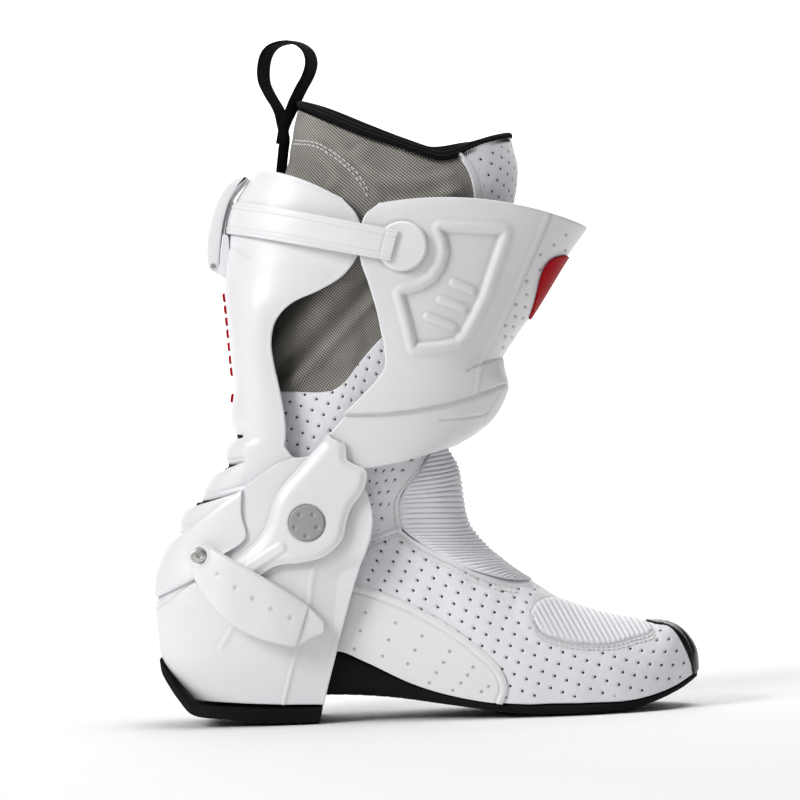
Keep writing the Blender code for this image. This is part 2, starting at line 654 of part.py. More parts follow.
def build_heel_levers():
    """The crescent on each side that turns on the heel screw."""
    stand_off = curve([(-128, 41.5), (-123, 43.8), (-112, 49.2), (-104, 51.0), (-85, 52.0),
                       (-75, 51.0), (-65, 49.2), (-55, 48.2)])
    ribs = [((-127.6, 96.0), (-127.8, 89.0)), ((-120.5, 101.0), (-123.5, 79.0)),
            ((-112.8, 96.4), (-119.0, 70.0)), ((-102.9, 90.6), (-109.0, 60.3)),
            ((-86.5, 80.4), (-97.0, 52.0)), ((-74.0, 72.2), (-84.0, 46.8)),
            ((-64.6, 65.5), (-70.3, 44.9)), ((-58.5, 59.7), (-61.0, 47.4)),
            ((-55.4, 55.5), (-55.9, 51.5))]
    columns = 6
    outer, inner = [], []
    for (top_x, top_z), (low_x, low_z) in ribs:
        for j in range(columns):
            t = j / (columns - 1)
            x = top_x + (low_x - top_x) * t
            z = top_z + (low_z - top_z) * t
            crown = 1.2 * 4 * t * (1 - t)
            outer.append((x, -stand_off(x) - 1.6 - crown, z))
            inner.append((x, -stand_off(x) + 0.4, z))
    count = len(outer)
    faces = grid_faces(len(ribs), columns)
    faces += [tuple(count + k for k in face[::-1]) for face in faces]
    edge = list(range(columns))
    edge += [i * columns + columns - 1 for i in range(1, len(ribs))]
    edge += [(len(ribs) - 1) * columns + j for j in range(columns - 2, -1, -1)]
    edge += [i * columns for i in range(len(ribs) - 2, 0, -1)]
    for k, a in enumerate(edge):
        b = edge[(k + 1) % len(edge)]
        faces.append((b, a, count + a, count + b))
    mesh = mesh_from("heel_lever", outer + inner, faces)
    work = bmesh.new()
    work.from_mesh(mesh)
    bmesh.ops.recalc_face_normals(work, faces=work.faces)
    work.to_mesh(mesh)
    work.free()
    hole = make_cutter("screw_bore", cylinder_y(SCREW_X, SCREW_Z, -60, 60, 2.9, 16))
    both_sides("heel_lever", mesh, WHITE_SHELL, 0.4, pivot=(SCREW_X, SCREW_Z),
               finish=lambda obj: cut(obj, hole))
    screw = turned_y("heel_screw", SCREW_X, SCREW_Z,
                     [(0.0, -41.6), (2.5, -41.6), (2.5, -48.4), (4.2, -48.4), (3.6, -50.2),
                      (1.6, -50.8), (0.0, -50.8)])
    both_sides("heel_screw", screw, STEEL, 0.25, 1.0)


def turned_y(name, x, z, profile, segments=20):
    """A turned piece about an axis along Y, from (radius, y) pairs."""
    rings = []
    for radius, y in profile:
        if radius < 0.001:
            rings.append([(x, y, z)])
        else:
            rings.append([(x + radius * math.cos(2 * math.pi * k / segments), y,
                           z + radius * math.sin(2 * math.pi * k / segments))
                          for k in range(segments)])
    points = [p for ring in rings for p in ring]
    starts = [sum(len(r) for r in rings[:i]) for i in range(len(rings))]
    faces = []
    for i in range(len(rings) - 1):
        a, b = starts[i], starts[i + 1]
        for k in range(segments):
            n = (k + 1) % segments
            if len(rings[i]) == 1:
                faces.append((a, b + k, b + n))
            elif len(rings[i + 1]) == 1:
                faces.append((a + k, b, a + n))
            else:
                faces.append((a + k, b + k, b + n, a + n))
    mesh = mesh_from(name, points, faces)
    work = bmesh.new()
    work.from_mesh(mesh)
    bmesh.ops.recalc_face_normals(work, faces=work.faces)
    work.to_mesh(mesh)
    work.free()
    return mesh


# ---- the lames behind the ankle --------------------------------------------------------------
def build_lames():
    front = -74.0
    upper = [Rib(-104.6, 157.2, front, 165.0, 33.8), Rib(-107.6, 153.0, front, 159.0, 34.0),
             Rib(-108.4, 149.0, front, 153.5, 34.0), Rib(-106.8, 144.2, front, 147.5, 33.8)]
    middle = [Rib(-114.8, 139.4, front, 153.5, 35.6), Rib(-118.2, 134.8, front, 147.0, 35.6),
              Rib(-120.8, 130.0, front, 140.5, 35.6), Rib(-122.0, 124.6, front, 134.0, 35.6)]
    lower = [Rib(-131.4, 120.4, front, 135.4, 37.2), Rib(-133.8, 116.4, front, 129.0, 37.2),
             Rib(-135.4, 112.0, front, 123.0, 37.2), Rib(-136.0, 107.2, front, 117.0, 37.2)]
    for name, ribs in (("upper", upper), ("middle", middle), ("lower", lower)):
        rib_shell("achilles_lame_" + name, ribs, LAME_WALL, WHITE_SHELL, 0.4,
                  pivot=(ANKLE_X, ANKLE_Z))


# ---- the calf plate ----------------------------------------------------------------------------
CALF_RIBS = [
    Rib(-86.0, 306.8, -38.0, 288.0, 50.5, 2.4),
    Rib(-92.0, 299.0, -31.5, 280.4, 51.8, 1.5),
    Rib(-97.6, 290.6, -28.6, 273.0, 52.2, 1.0),
    Rib(-101.0, 279.0, -28.1, 266.0, 52.4),
    Rib(-103.4, 266.0, -30.5, 257.0, 52.2),
    Rib(-105.4, 254.0, -39.0, 246.0, 52.0),
    Rib(-106.0, 243.0, -52.0, 238.4, 51.0),
    Rib(-105.3, 233.0, -68.0, 231.6, 49.6),
    Rib(-104.6, 222.0, -77.0, 222.5, 48.2),
    Rib(-104.0, 211.0, -80.0, 211.0, 47.0),
    Rib(-103.3, 199.0, -79.0, 199.0, 46.2),
    Rib(-102.5, 187.0, -76.8, 187.0, 45.4),
    Rib(-103.8, 177.0, -75.0, 176.0, 44.8, 0, None, -97.4, 177.0),
    Rib(-105.2, 169.5, -74.0, 166.5, 44.2, 0, None, -97.8, 169.0),
    Rib(-103.4, 161.6, -74.2, 158.0, 43.0, 0, None, -97.2, 160.8),
    Rib(-110.0, 158.0, -74.6, 153.0, 42.4, 0, None, -97.2, 154.5, True),
    Rib(-121.0, 146.0, -66.0, 142.0, 42.0, 0, None, -96.4, 144.0, True),
    Rib(-132.0, 135.0, -57.0, 131.0, 42.0, 0, None, -94.6, 133.0, True),
    Rib(-137.0, 124.0, -50.6, 119.0, 42.2, 0, None, -86.0, 121.0, True),
    Rib(-136.0, 113.0, -49.4, 110.0, 42.4, 0, None, -78.6, 110.0, True),
    Rib(-136.0, 103.0, -53.0, 101.6, 42.4, 0, None, -74.6, 101.6, True),
    Rib(-136.0, 98.0, -59.6, 97.4, 42.4, 0, None, -68.0, 97.4, True),
]
CALF_POWER = 2.6


def build_calf_plate(bore):
    calf = rib_shell("calf_plate", CALF_RIBS, PLATE_WALL - 0.2, WHITE_SHELL, 0.35,
                     power=CALF_POWER, columns=12, split=5,
                     pivot=(ANKLE_X, ANKLE_Z))
    cut(calf, bore)


def build_calf_ladder():
    """The strip of red marks down the middle of the calf plate."""
    ribs = []
    for rib in CALF_RIBS[7:13]:
        surface = rib._replace(apex_x=rib.apex_x - 1.1, width=rib.width + 1.1)
        side = surface.apex_x + 1.6
        ribs.append(surface._replace(end_x=side, end_z=rib.apex_z, wide_x=rib.end_x,
                                     split_x=None, split_z=None))
    rib_shell("calf_red_ladder", ribs, 0.8, RED, 0.4, power=CALF_POWER, columns=5,
              pivot=(ANKLE_X, ANKLE_Z))


def build_strap():
    ribs = [Rib(-99.9, 290.0, -8.0, 268.4, STRAP_WIDTH), Rib(-102.6, 281.5, -10.5, 260.6, STRAP_WIDTH),
            Rib(-104.6, 273.0, -13.0, 252.8, STRAP_WIDTH)]
    rib_shell("closure_strap", ribs, 1.5, WHITE_SHELL, 0.45, power=2.6, columns=14,
              pivot=(ANKLE_X, ANKLE_Z))


BUCKLE_HALF = 17.0


def build_buckle():
    end = 2.9
    tip = [(BUCKLE_X + end * math.cos(a), BUCKLE_Z + end * math.sin(a))
           for a in (math.radians(d) for d in (190, 235, 280, 325, 5))]
    outline = [(-91.0, 304.6), (-97.0, 303.2), (-102.6, 299.4), (-107.6, 291.4), (-111.6, 280.4),
               (-113.8, 270.0), (-114.6, 261.6)] + tip
    outline += [(-109.4, 262.0), (-107.4, 272.5), (-104.8, 284.0), (-101.2, 293.0), (-94.6, 300.2)]
    lever = add_part("buckle_lever", side_outline("lever", outline, -BUCKLE_HALF, BUCKLE_HALF),
                     WHITE_SHELL, 0.35, pivot=(BUCKLE_X, BUCKLE_Z))
    hole = make_cutter("buckle_bore", cylinder_y(BUCKLE_X, BUCKLE_Z, -30, 30, 1.8, 16))
    cut(lever, hole)
    pin = cylinder_y(BUCKLE_X, BUCKLE_Z, -BUCKLE_HALF - 3.0, BUCKLE_HALF + 3.0, 1.5, 16)
    add_part("buckle_pin", pin, STEEL, 0.3, 1.0)
    base = [(-107.6, 247.0), (-106.6, 247.0), (-106.6, 261.0), (-107.6, 261.0)]
    bracket = side_outline("bracket", base, -BUCKLE_HALF - 2.6, BUCKLE_HALF + 2.6)
    ear = [(-107.0, 248.0), (-107.0, 260.0), (-111.0, 258.2), (-113.8, 256.4), (-113.8, 252.8),
           (-111.0, 250.6)]
    obj = add_part("buckle_bracket", bracket, WHITE_SHELL, 0.4)
    for sign in (-1, 1):
        near, far = sorted((sign * (BUCKLE_HALF + 0.6), sign * (BUCKLE_HALF + 2.4)))
        union = obj.modifiers.new("ear", "BOOLEAN")
        union.operation = "UNION"
        union.solver = "EXACT"
        union.object = make_cutter("bracket_ear", side_outline("ear", ear, near, far))
    cut(obj, make_cutter("bracket_bore", cylinder_y(BUCKLE_X, BUCKLE_Z, -30, 30, 1.8, 16)))


# ---- the shin guard ------------------------------------------------------------------------------
SHIN_RIBS = [
    Rib(98.6, 268.0, -17.5, 284.2, 56.4, 8.0),
    Rib(96.0, 264.8, -25.0, 278.0, 57.0, 7.0),
    Rib(90.6, 258.0, -28.0, 267.0, 57.0, 5.5),
    Rib(82.1, 246.0, -28.4, 254.5, 56.6, 4.0),
    Rib(73.2, 232.3, -24.6, 241.5, 55.8, 2.5),
    Rib(64.3, 219.2, -20.6, 226.2, 54.6, 1.0),
    Rib(55.5, 207.7, -18.4, 213.2, 53.2),
    Rib(50.0, 199.5, -17.0, 203.7, 51.8, -1.0),
    Rib(49.6, 193.0, -17.6, 194.0, 50.8, -2.0),
    Rib(50.6, 188.0, -24.5, 185.0, 50.0, -3.0),
    Rib(51.6, 184.8, -41.0, 169.6, 49.4, -5.5),
]
SHIN_POWER = 2.3


def build_shin_plate():
    rib_shell("shin_plate", SHIN_RIBS, PLATE_WALL, WHITE_SHELL, 0.35, power=SHIN_POWER,
              columns=12, pivot=(ANKLE_X, ANKLE_Z))


def build_shin_frame():
    """The low band in front of the shin, between the two arms."""
    ribs = [Rib(51.0, 182.6, -41.6, 166.6, 47.6, -5.5), Rib(50.0, 178.0, -42.0, 161.0, 47.6, -5.0),
            Rib(45.6, 169.0, -42.0, 155.0, 47.6, -4.0), Rib(39.8, 162.0, -41.0, 149.0, 47.4, -3.0),
            Rib(30.0, 154.6, -36.0, 143.4, 47.0, -2.0), Rib(20.5, 150.0, -31.0, 140.0, 46.4, -1.0)]
    rib_shell("shin_frame", ribs, PLATE_WALL, WHITE_SHELL, 0.35, power=SHIN_POWER, columns=12,
              pivot=(ANKLE_X, ANKLE_Z))


def build_shin_panels():
    """The sunk panels, as thin inserts on the outer face of the shin plate."""
    left = [(15.7, 268.6), (18.6, 256.7), (11.0, 242.0), (-6.0, 234.6), (-5.0, 226.0), (-1.0, 206.4)]
    right = [(49.2, 266.2), (45.5, 255.0), (41.0, 242.5), (36.7, 231.0), (31.5, 221.0), (21.9, 208.2)]
    columns = 6
    grid = []
    for (x0, z0), (x1, z1) in zip(left, right):
        row = []
        for j in range(columns):
            x = x0 + (x1 - x0) * j / (columns - 1)
            z = z0 + (z1 - z0) * j / (columns - 1)
            row.append((x, -rib_surface_y(SHIN_RIBS, x, z, SHIN_POWER) - GAP - 1.6, z))
        grid.append(row)
    for side, sign in (("lateral", 1), ("medial", -1)):
        placed = [[(x, sign * y, z) for x, y, z in row] for row in grid]
        shell("shin_panel_" + side, placed, 1.0, WHITE_SHELL, 0.35, flip=sign < 0, mirrored=False,
              pivot=(ANKLE_X, ANKLE_Z))


def build_shin_insert():
    """A plain red drop on the nose of the shin plate."""
    ribs = []
    for z, reach in ((252.0, 5.0), (246.0, 11.0), (239.0, 13.0), (231.5, 11.0), (223.0, 6.0)):
        k = next(i for i in range(len(SHIN_RIBS) - 1) if SHIN_RIBS[i + 1].apex_z <= z)
        high, low = SHIN_RIBS[k], SHIN_RIBS[k + 1]
        t = (high.apex_z - z) / (high.apex_z - low.apex_z)
        apex = high.apex_x + (low.apex_x - high.apex_x) * t + 1.3
        wide = high.end_x + (low.end_x - high.end_x) * t
        width = high.width + (low.width - high.width) * t + 1.3
        ribs.append(Rib(apex, z, apex - reach, z + 0.1 * reach, width, 0, wide))
    rib_shell("shin_red_insert", ribs, 0.7, RED, 0.4, power=SHIN_POWER, columns=6,
              pivot=(ANKLE_X, ANKLE_Z))


def build_arms(bore):
    outline = [(-43.5, 165.0), (-55.8, 153.0), (-67.5, 140.5), (-77.4, 130.2), (-82.0, 122.0),
               (-85.3, 112.0), (-90.0, 104.0), (-97.0, 97.3), (-104.0, 92.2), (-101.5, 82.0),
               (-94.0, 82.2), (-87.4, 85.2), (-80.6, 88.9), (-72.1, 89.7), (-63.7, 89.9),
               (-55.2, 92.4), (-47.7, 97.8), (-43.6, 104.9), (-42.2, 110.4), (-39.0, 118.7),
               (-33.2, 126.9), (-29.6, 134.0), (-30.6, 140.4), (-40.8, 144.2), (-41.4, 154.0)]
    plate = side_outline("arm", outline, -ARM_OUTER_Y, -ARM_INNER_Y)
    taper = curve([(-104, 0.27), (-88, 0.40), (-76, 1.0)])
    for vertex in plate.vertices:
        if vertex.co.z < (ANKLE_Z - 5) * MM and vertex.co.x < -76 * MM:
            depth = vertex.co.y / MM + ARM_INNER_Y
            vertex.co.y = (-ARM_INNER_Y + depth * taper(vertex.co.x / MM)) * MM
    both_sides("hinge_arm", plate, WHITE_SHELL, 0.35, pivot=(ANKLE_X, ANKLE_Z),
               finish=lambda obj: cut(obj, bore))


def build_hinge_hardware():
    pin = turned_y("hinge_pin", ANKLE_X, ANKLE_Z,
                   [(0.0, -37.2), (7.0, -37.2), (7.0, -39.2), (PIN_RADIUS, -39.2),
                    (PIN_RADIUS, -52.6), (0.0, -52.6)])
    both_sides("hinge_pin", pin, STEEL, 0.35, 1.0)
    cap = turned_y("hinge_cap", ANKLE_X, ANKLE_Z,
                   [(0.0, -52.9), (CAP_RADIUS, -52.9), (CAP_RADIUS, -53.5), (CAP_RADIUS - 0.6, -54.1),
                    (0.0, -54.1)], segments=28)
    both_sides("hinge_cap", cap, CAP_GREY, 0.5)
    ring = cylinder_y(ANKLE_X, ANKLE_Z, -ARM_INNER_Y + 0.25, -CUP_WIDTH - 0.35, 12.0, 28)
    hole = make_cutter("washer_bore", cylinder_y(ANKLE_X, ANKLE_Z, -70, 70, BORE_RADIUS, 24))
    both_sides("hinge_washer", ring, CAP_GREY, 0.5, finish=lambda obj: cut(obj, hole))


ANCHOR_X = -5.9
ANCHOR_Z = 260.4


def build_strap_anchors():
    disc = cylinder_y(ANCHOR_X, ANCHOR_Z, -59.3, -57.3, 13.5, 28)
    both_sides("strap_anchor", disc, WHITE_SHELL, 0.45, pivot=(ANKLE_X, ANKLE_Z))


build_soles()
build_foot_upper()
build_toe_bumper()
build_side_guards()
build_toe_flex_panel()
build_shaft()
build_instep_flex_panel()
build_achilles_gaiter()
build_pull_loop()
ankle = ankle_bore()
build_heel_cup(ankle)
build_heel_yoke()
build_heel_sole()
build_heel_levers()
build_lames()
build_calf_plate(ankle)
build_calf_ladder()
build_strap()
build_buckle()
build_shin_plate()
build_shin_frame()
build_shin_panels()
build_shin_insert()
build_arms(ankle)
build_hinge_hardware()
build_strap_anchors()
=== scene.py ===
"""Looks of the racing boot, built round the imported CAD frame.

Lengths in the shape functions are in millimetres; they become metres when a mesh is made.
A surface is a grid of points, rows by columns. Its relief is laid on along the normal.
"""

import math

import bpy
import numpy as np
from mathutils import Matrix, Vector


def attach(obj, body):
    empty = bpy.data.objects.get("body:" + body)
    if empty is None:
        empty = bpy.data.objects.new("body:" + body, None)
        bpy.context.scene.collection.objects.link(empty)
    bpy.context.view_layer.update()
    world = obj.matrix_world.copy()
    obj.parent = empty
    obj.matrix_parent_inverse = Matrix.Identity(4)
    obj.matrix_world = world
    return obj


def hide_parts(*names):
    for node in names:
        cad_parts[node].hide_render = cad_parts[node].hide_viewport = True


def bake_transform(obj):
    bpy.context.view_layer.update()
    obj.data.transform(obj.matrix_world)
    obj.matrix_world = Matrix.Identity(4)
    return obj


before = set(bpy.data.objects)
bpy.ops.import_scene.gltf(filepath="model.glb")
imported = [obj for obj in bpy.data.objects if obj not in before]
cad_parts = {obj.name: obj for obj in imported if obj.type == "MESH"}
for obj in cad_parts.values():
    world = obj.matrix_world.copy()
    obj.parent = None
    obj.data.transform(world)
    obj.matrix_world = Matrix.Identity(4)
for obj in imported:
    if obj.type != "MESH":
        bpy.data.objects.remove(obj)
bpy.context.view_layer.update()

MM = 0.001
ANKLE = (-63.5, 111.2)
SCREW = (-122.9, 95.5)
BUCKLE = (-111.0, 254.6)
BUTTON = (-5.9, 260.4)


# ---- numbers and curves ----
def curve(points):
    """A smooth function through (x, value) pairs, flat beyond its ends."""
    xs, values = np.array(points, float).T
    order = np.arange(len(xs))
    low, high = np.maximum(order - 1, 0), np.minimum(order + 1, len(xs) - 1)
    slopes = (values[high] - values[low]) / (xs[high] - xs[low])

    def value_at(x):
        x = np.clip(x, xs[0], xs[-1])
        i = np.clip(np.searchsorted(xs, x, side="right") - 1, 0, len(xs) - 2)
        span = xs[i + 1] - xs[i]
        t = (x - xs[i]) / span
        flat = values[i] * (1 - t) ** 2 * (1 + 2 * t) + values[i + 1] * t * t * (3 - 2 * t)
        return flat + span * (slopes[i] * t * (1 - t) ** 2 - slopes[i + 1] * t * t * (1 - t))

    return value_at


def lengths(points, axis=0):
    """The length run along lines of points, zero at their start."""
    step = np.linalg.norm(np.diff(points, axis=axis), axis=-1)
    return np.concatenate([0 * step.take([0], axis), np.cumsum(step, axis=axis)], axis=axis)


def smooth_path(points, count=80):
    """Evenly spaced points on a smooth line through a few."""
    points = np.array(points, float)
    run = lengths(points)
    fine = np.linspace(0, run[-1], count)
    return np.stack([curve(list(zip(run, axis)))(fine) for axis in points.T], axis=1)


def ramp(value, low, high):
    """A soft step from 0 at low to 1 at high."""
    t = np.clip((value - low) / (high - low), 0, 1)
    return t * t * (3 - 2 * t)


def ridge(distance, width):
    """A bell of height 1 round distance 0."""
    return np.exp(-(distance / width) ** 2)


def point_distance(points, x, z):
    return np.min([np.hypot(x - px, z - pz) for px, pz in points], axis=0)


def path_distance(path, x, z):
    best = np.full(np.shape(x), 1e9)
    for (x0, z0), (x1, z1) in zip(path[:-1], path[1:]):
        dx, dz = x1 - x0, z1 - z0
        t = np.clip(((x - x0) * dx + (z - z0) * dz) / (dx * dx + dz * dz + 1e-9), 0, 1)
        best = np.minimum(best, np.hypot(x - x0 - t * dx, z - z0 - t * dz))
    return best


def signed_distance(outline, x, z):
    """Distance to a closed outline, negative inside it."""
    outline = np.array(outline, float)
    closed = np.vstack([outline, outline[:1]])
    within = np.zeros(np.shape(x), bool)
    for (x0, z0), (x1, z1) in zip(closed[:-1], closed[1:]):
        if z0 != z1:
            crosses = (z0 > z) != (z1 > z)
            within ^= crosses & (x < (x1 - x0) * (z - z0) / (z1 - z0) + x0)
    return np.where(within, -1, 1) * path_distance(closed, x, z)


def round_outline(points):
    """An outline with its corners cut a little, twice."""
    points = np.array(points, float)
    for _ in range(2):
        after = np.roll(points, -1, axis=0)
        points = np.stack([0.85 * points + 0.15 * after, 0.15 * points + 0.85 * after], 1).reshape(-1, 2)
    return points


# ---- surfaces ----
def even_columns(path, count):
    """The same lines, row by row, with evenly spaced points."""
    rows = []
    for line, length in zip(path, lengths(path, 1)):
        want = np.linspace(0, length[-1], count)
        rows.append(np.stack([np.interp(want, length, line[:, c]) for c in range(3)], axis=1))
    return np.array(rows)


def side_view(grid):
    return grid[:, :, 0], grid[:, :, 2]


def ruled(rear, front, columns):
    """Rows of evenly spaced points from one line of the side view to another."""
    t = np.linspace(0, 1, columns)[None, :, None]
    return rear[:, None, :] * (1 - t) + front[:, None, :] * t


def steps_to_edge(count):
    return np.minimum(np.arange(count), np.arange(count)[::-1])


def both_halves(side):
    """A grid right across the mid plane, from its half with positive y."""
    mirrored = side[:, :0:-1] * np.array([1, -1, 1])
    return np.concatenate([mirrored, side], axis=1)


def rib_grid(ribs, rows, columns, power, split=None):
    """Half of a smooth surface through ribs, and how far along it each rib lies.

    A rib is (apex_x, apex_z, end_x, end_z, width, arch, wide_x, split_x, split_z); the last four may
    be left out. It runs from the apex on the mid plane round to its end at the side, along a
    superellipse that is widest at wide_x. The split column lies on the ribs' split points, where
    a leg of a plate begins.
    """
    knots = []
    for rib in ribs:
        rib = (*rib, *[None] * 9)[:9]
        apex_x, apex_z, end_x, end_z, width, arch, wide_x, split_x, split_z = rib
        wide_x = end_x if wide_x is None else wide_x
        end = math.acos(max((end_x - wide_x) / (apex_x - wide_x), 0.0) ** (power / 2))
        if split_x is None:
            middle = 0.4 * end
            split_x = wide_x + (apex_x - wide_x) * math.cos(middle) ** (2 / power)
            split_z = end_z + (apex_z - end_z) * (split_x - end_x) / (apex_x - end_x)
        else:
            middle = math.acos(max((split_x - wide_x) / (apex_x - wide_x), 0.0) ** (power / 2))
        knots.append((*rib[:5], arch or 0.0, wide_x, split_x, split_z, middle, end))
    knots = np.array(knots)
    run = lengths(knots[:, 0:2]) + lengths(knots[:, 2:4])
    at = np.linspace(0, run[-1], rows)
    fine = [curve(list(zip(run, k)))(at)[:, None] for k in knots.T]
    apex_x, apex_z, end_x, end_z, width, arch, wide_x, split_x, split_z, middle, end = fine
    warp = (1 - np.cos(np.linspace(0, math.pi, 240))) / 2

    def stretch(first, last, count):
        angle = first + (last - first) * warp[None, :]
        x = wide_x + (apex_x - wide_x) * np.cos(angle).clip(0) ** (2 / power)
        y = width * np.sin(angle).clip(0) ** (2 / power)
        s = (x - end_x) / (apex_x - end_x)
        front = split_z + (apex_z - split_z) * (x - split_x) / (apex_x - split_x)
        back = end_z + (split_z - end_z) * (x - end_x) / (split_x - end_x)
        z = np.where(angle <= middle, front, back) + arch * 4 * s * (1 - s)
        return even_columns(np.stack([x, y, z], axis=2), count)

    if split is None:
        return stretch(0.0 * end, end, columns), run / run[-1]
    before = stretch(0.0 * end, middle, split + 1)
    after = stretch(middle, end, columns - split)
    return np.concatenate([before, after[:, 1:]], axis=1), run / run[-1]


def rib_surface(ribs, rows, columns, power):
    """Both halves of a rib grid."""
    return both_halves(rib_grid(ribs, rows, columns, power)[0])


def normals_of(grid, centre):
    along = np.gradient(grid, axis=1)
    across = np.gradient(grid, axis=0)
    normal = np.cross(along, across)
    normal /= np.linalg.norm(normal, axis=2, keepdims=True) + 1e-9
    if np.sum(normal * (grid - np.array(centre, float))) < 0:
        normal = -normal
    return normal


def surface_map(grid):
    """Distances over the surface in mm, from the middle column and from the first row."""
    run = lengths(grid, 1)
    run -= run[:, grid.shape[1] // 2][:, None]
    return np.stack([run, lengths(grid, 0)], axis=2)


def soften(field, passes=7):
    """A field of a grid, blurred over a few cells."""
    for _ in range(passes):
        for axis in (0, 1):
            wide = np.pad(field, [(1, 1) if a == axis else (0, 0) for a in (0, 1)], mode="edge")
            field = (np.take(wide, range(0, wide.shape[axis] - 2), axis)
                     + np.take(wide, range(1, wide.shape[axis] - 1), axis)
                     + np.take(wide, range(2, wide.shape[axis]), axis)) / 3
    return field


def make_mesh(points, faces, marks=None, holes_and_painted_shade=None, painted_cavity_shade=None):
    mesh = bpy.data.meshes.new("piece")
    mesh.from_pydata((np.asarray(points) * MM).tolist(), [], faces)
    if marks is not None:
        layer = mesh.uv_layers.new(name="surface")
        index = np.empty(len(mesh.loops), np.int64)
        mesh.loops.foreach_get("vertex_index", index)
        layer.data.foreach_set("uv", np.asarray(marks, np.float32)[index].ravel())
    # cavity holds painted shade for hollows; holes marks punched holes and painted shade in dimples
    for key, values in (("holes_and_painted_shade", holes_and_painted_shade), ("painted_cavity_shade", painted_cavity_shade)):
        if values is not None:
            layer = mesh.attributes.new(key, "FLOAT", "POINT")
            layer.data.foreach_set("value", np.asarray(values, np.float32))
    mesh.shade_smooth()
    return mesh


def place(name, mesh, mat, body, stands_for=()):
    """A piece in the scene; body is None for a piece that spans two bodies, which is left unattached."""
    mesh.name = name
    obj = bpy.data.objects.new(name, mesh)
    bpy.context.scene.collection.objects.link(obj)
    mesh.materials.append(mat)
    if body:
        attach(obj, body)
    if stands_for:
        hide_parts(*stands_for)
    return obj


def skin_mesh(grid, wall, centre, relief=0.0, present=None, lip=0.6, holes_and_painted_shade=None, closed=False,
              marks=None, shade=0.0):
    """A wall inside a surface, with relief outside and a rounded rim.

    The centre is a point on the inner side, which tells the outside. present marks the cells that
    exist, holes where punched holes go and where dimples get painted shade, and shade is painted shade
    given directly for hollows, added to the painted shade of the relief's own hollows.
    """
    rows, columns = grid.shape[:2]
    normal = normals_of(grid, centre)
    relief = np.zeros((rows, columns)) + relief
    # painted shade: the relief's hollows, and the given shade, darken the colour through the cavity marks
    painted_hollow_shade = np.clip(np.maximum((soften(relief, 4) - relief) * 2.0, shade), 0, 1)
    outer = grid + normal * relief[:, :, None]
    inner = grid - normal * wall
    turns = columns if closed else columns - 1
    cells = np.ones((rows - 1, turns), bool) if present is None else present
    i, j = np.nonzero(cells)
    k = (j + 1) % columns
    quads = np.stack([i * columns + j, i * columns + k, (i + 1) * columns + k, (i + 1) * columns + j], 1)
    a, b, c = (outer.reshape(-1, 3)[quads[len(quads) // 2, n]] for n in range(3))
    facing = np.dot(np.cross(b - a, c - b), normal.reshape(-1, 3)[quads[len(quads) // 2, 0]])
    if facing < 0:
        quads = quads[:, ::-1]
    count = rows * columns
    faces = np.concatenate([quads, quads[:, ::-1] + count])
    edges = np.concatenate([quads[:, [n, (n + 1) % 4]] for n in range(4)])
    owner = np.tile(np.arange(len(quads)), 4)
    known = set(map(tuple, edges))
    rim = [(p, q, owner[n]) for n, (p, q) in enumerate(edges) if (q, p) not in known]
    flat_outer, flat_inner = outer.reshape(-1, 3), inner.reshape(-1, 3)
    middle_of = flat_outer[quads].mean(axis=1)
    away = np.zeros((count, 3))
    for p, q, cell in rim:
        out = (flat_outer[p] + flat_outer[q]) / 2 - middle_of[cell]
        away[p] += out / (np.linalg.norm(out) + 1e-9)
        away[q] += out / (np.linalg.norm(out) + 1e-9)
    ring = sorted({p for edge in rim for p in edge[:2]})
    turned = {p: n for n, p in enumerate(ring)}
    half = (flat_outer[ring] - flat_inner[ring]) / 2
    middle = (flat_outer[ring] + flat_inner[ring]) / 2
    unit = half / (np.linalg.norm(half, axis=1, keepdims=True) + 1e-9)
    out = away[ring] - unit * np.sum(away[ring] * unit, axis=1, keepdims=True)
    out /= np.linalg.norm(out, axis=1, keepdims=True) + 1e-9
    size = np.linalg.norm(half, axis=1, keepdims=True)
    bends = [math.pi * n / 5 for n in range(1, 5)]
    extra = [middle + half * math.cos(t) + out * size * lip * math.sin(t) for t in bends]
    base = 2 * count
    strip = []
    for p, q, _ in rim:
        line_p = [p] + [base + n * len(ring) + turned[p] for n in range(4)] + [p + count]
        line_q = [q] + [base + n * len(ring) + turned[q] for n in range(4)] + [q + count]
        for n in range(5):
            strip.append((line_q[n], line_p[n], line_p[n + 1], line_q[n + 1]))
    points = np.concatenate([flat_outer, flat_inner] + extra)
    marks = (surface_map(grid) if marks is None else marks).reshape(-1, 2)
    marks = np.concatenate([marks, marks] + [marks[ring]] * 4)
    shown = np.zeros(count) if holes_and_painted_shade is None else np.asarray(holes_and_painted_shade, float).reshape(-1)
    shown = np.concatenate([shown, np.zeros(count)] + [np.zeros(len(ring))] * 4)
    painted_hollow_shade = np.concatenate([painted_hollow_shade.reshape(-1), np.zeros(count + 4 * len(ring))])
    used = np.unique(np.concatenate([faces.ravel(), np.array(strip).ravel()]))
    number = np.full(len(points), -1)
    number[used] = np.arange(len(used))
    faces = number[np.concatenate([faces, np.array(strip)])].tolist()
    return make_mesh(points[used], faces, marks[used], shown[used], painted_hollow_shade[used])


def other_side(mesh):
    copy = mesh.copy()
    copy.transform(Matrix.Scale(-1.0, 4, (0.0, 1.0, 0.0)))
    copy.flip_normals()
    return copy


def pair(name, mesh, mat, body, stands_for=None):
    """The same piece on both sides; body may hold a side name."""
    for side, data in (("lateral", mesh), ("medial", other_side(mesh))):
        nodes = [stands_for + "_" + side] if stands_for else []
        place(name + "_" + side, data, mat, body.replace("SIDE", side), nodes)


def ring_faces(rings, count, start=0):
    """Faces of a closed body through rings of points, with flat ends."""
    faces = []
    for i in range(rings - 1):
        for j in range(count):
            k = (j + 1) % count
            faces.append((i * count + j, i * count + k, (i + 1) * count + k, (i + 1) * count + j))
    faces += [tuple(range(count))[::-1], tuple(range((rings - 1) * count, rings * count))]
    return [tuple(start + corner for corner in face) for face in faces]


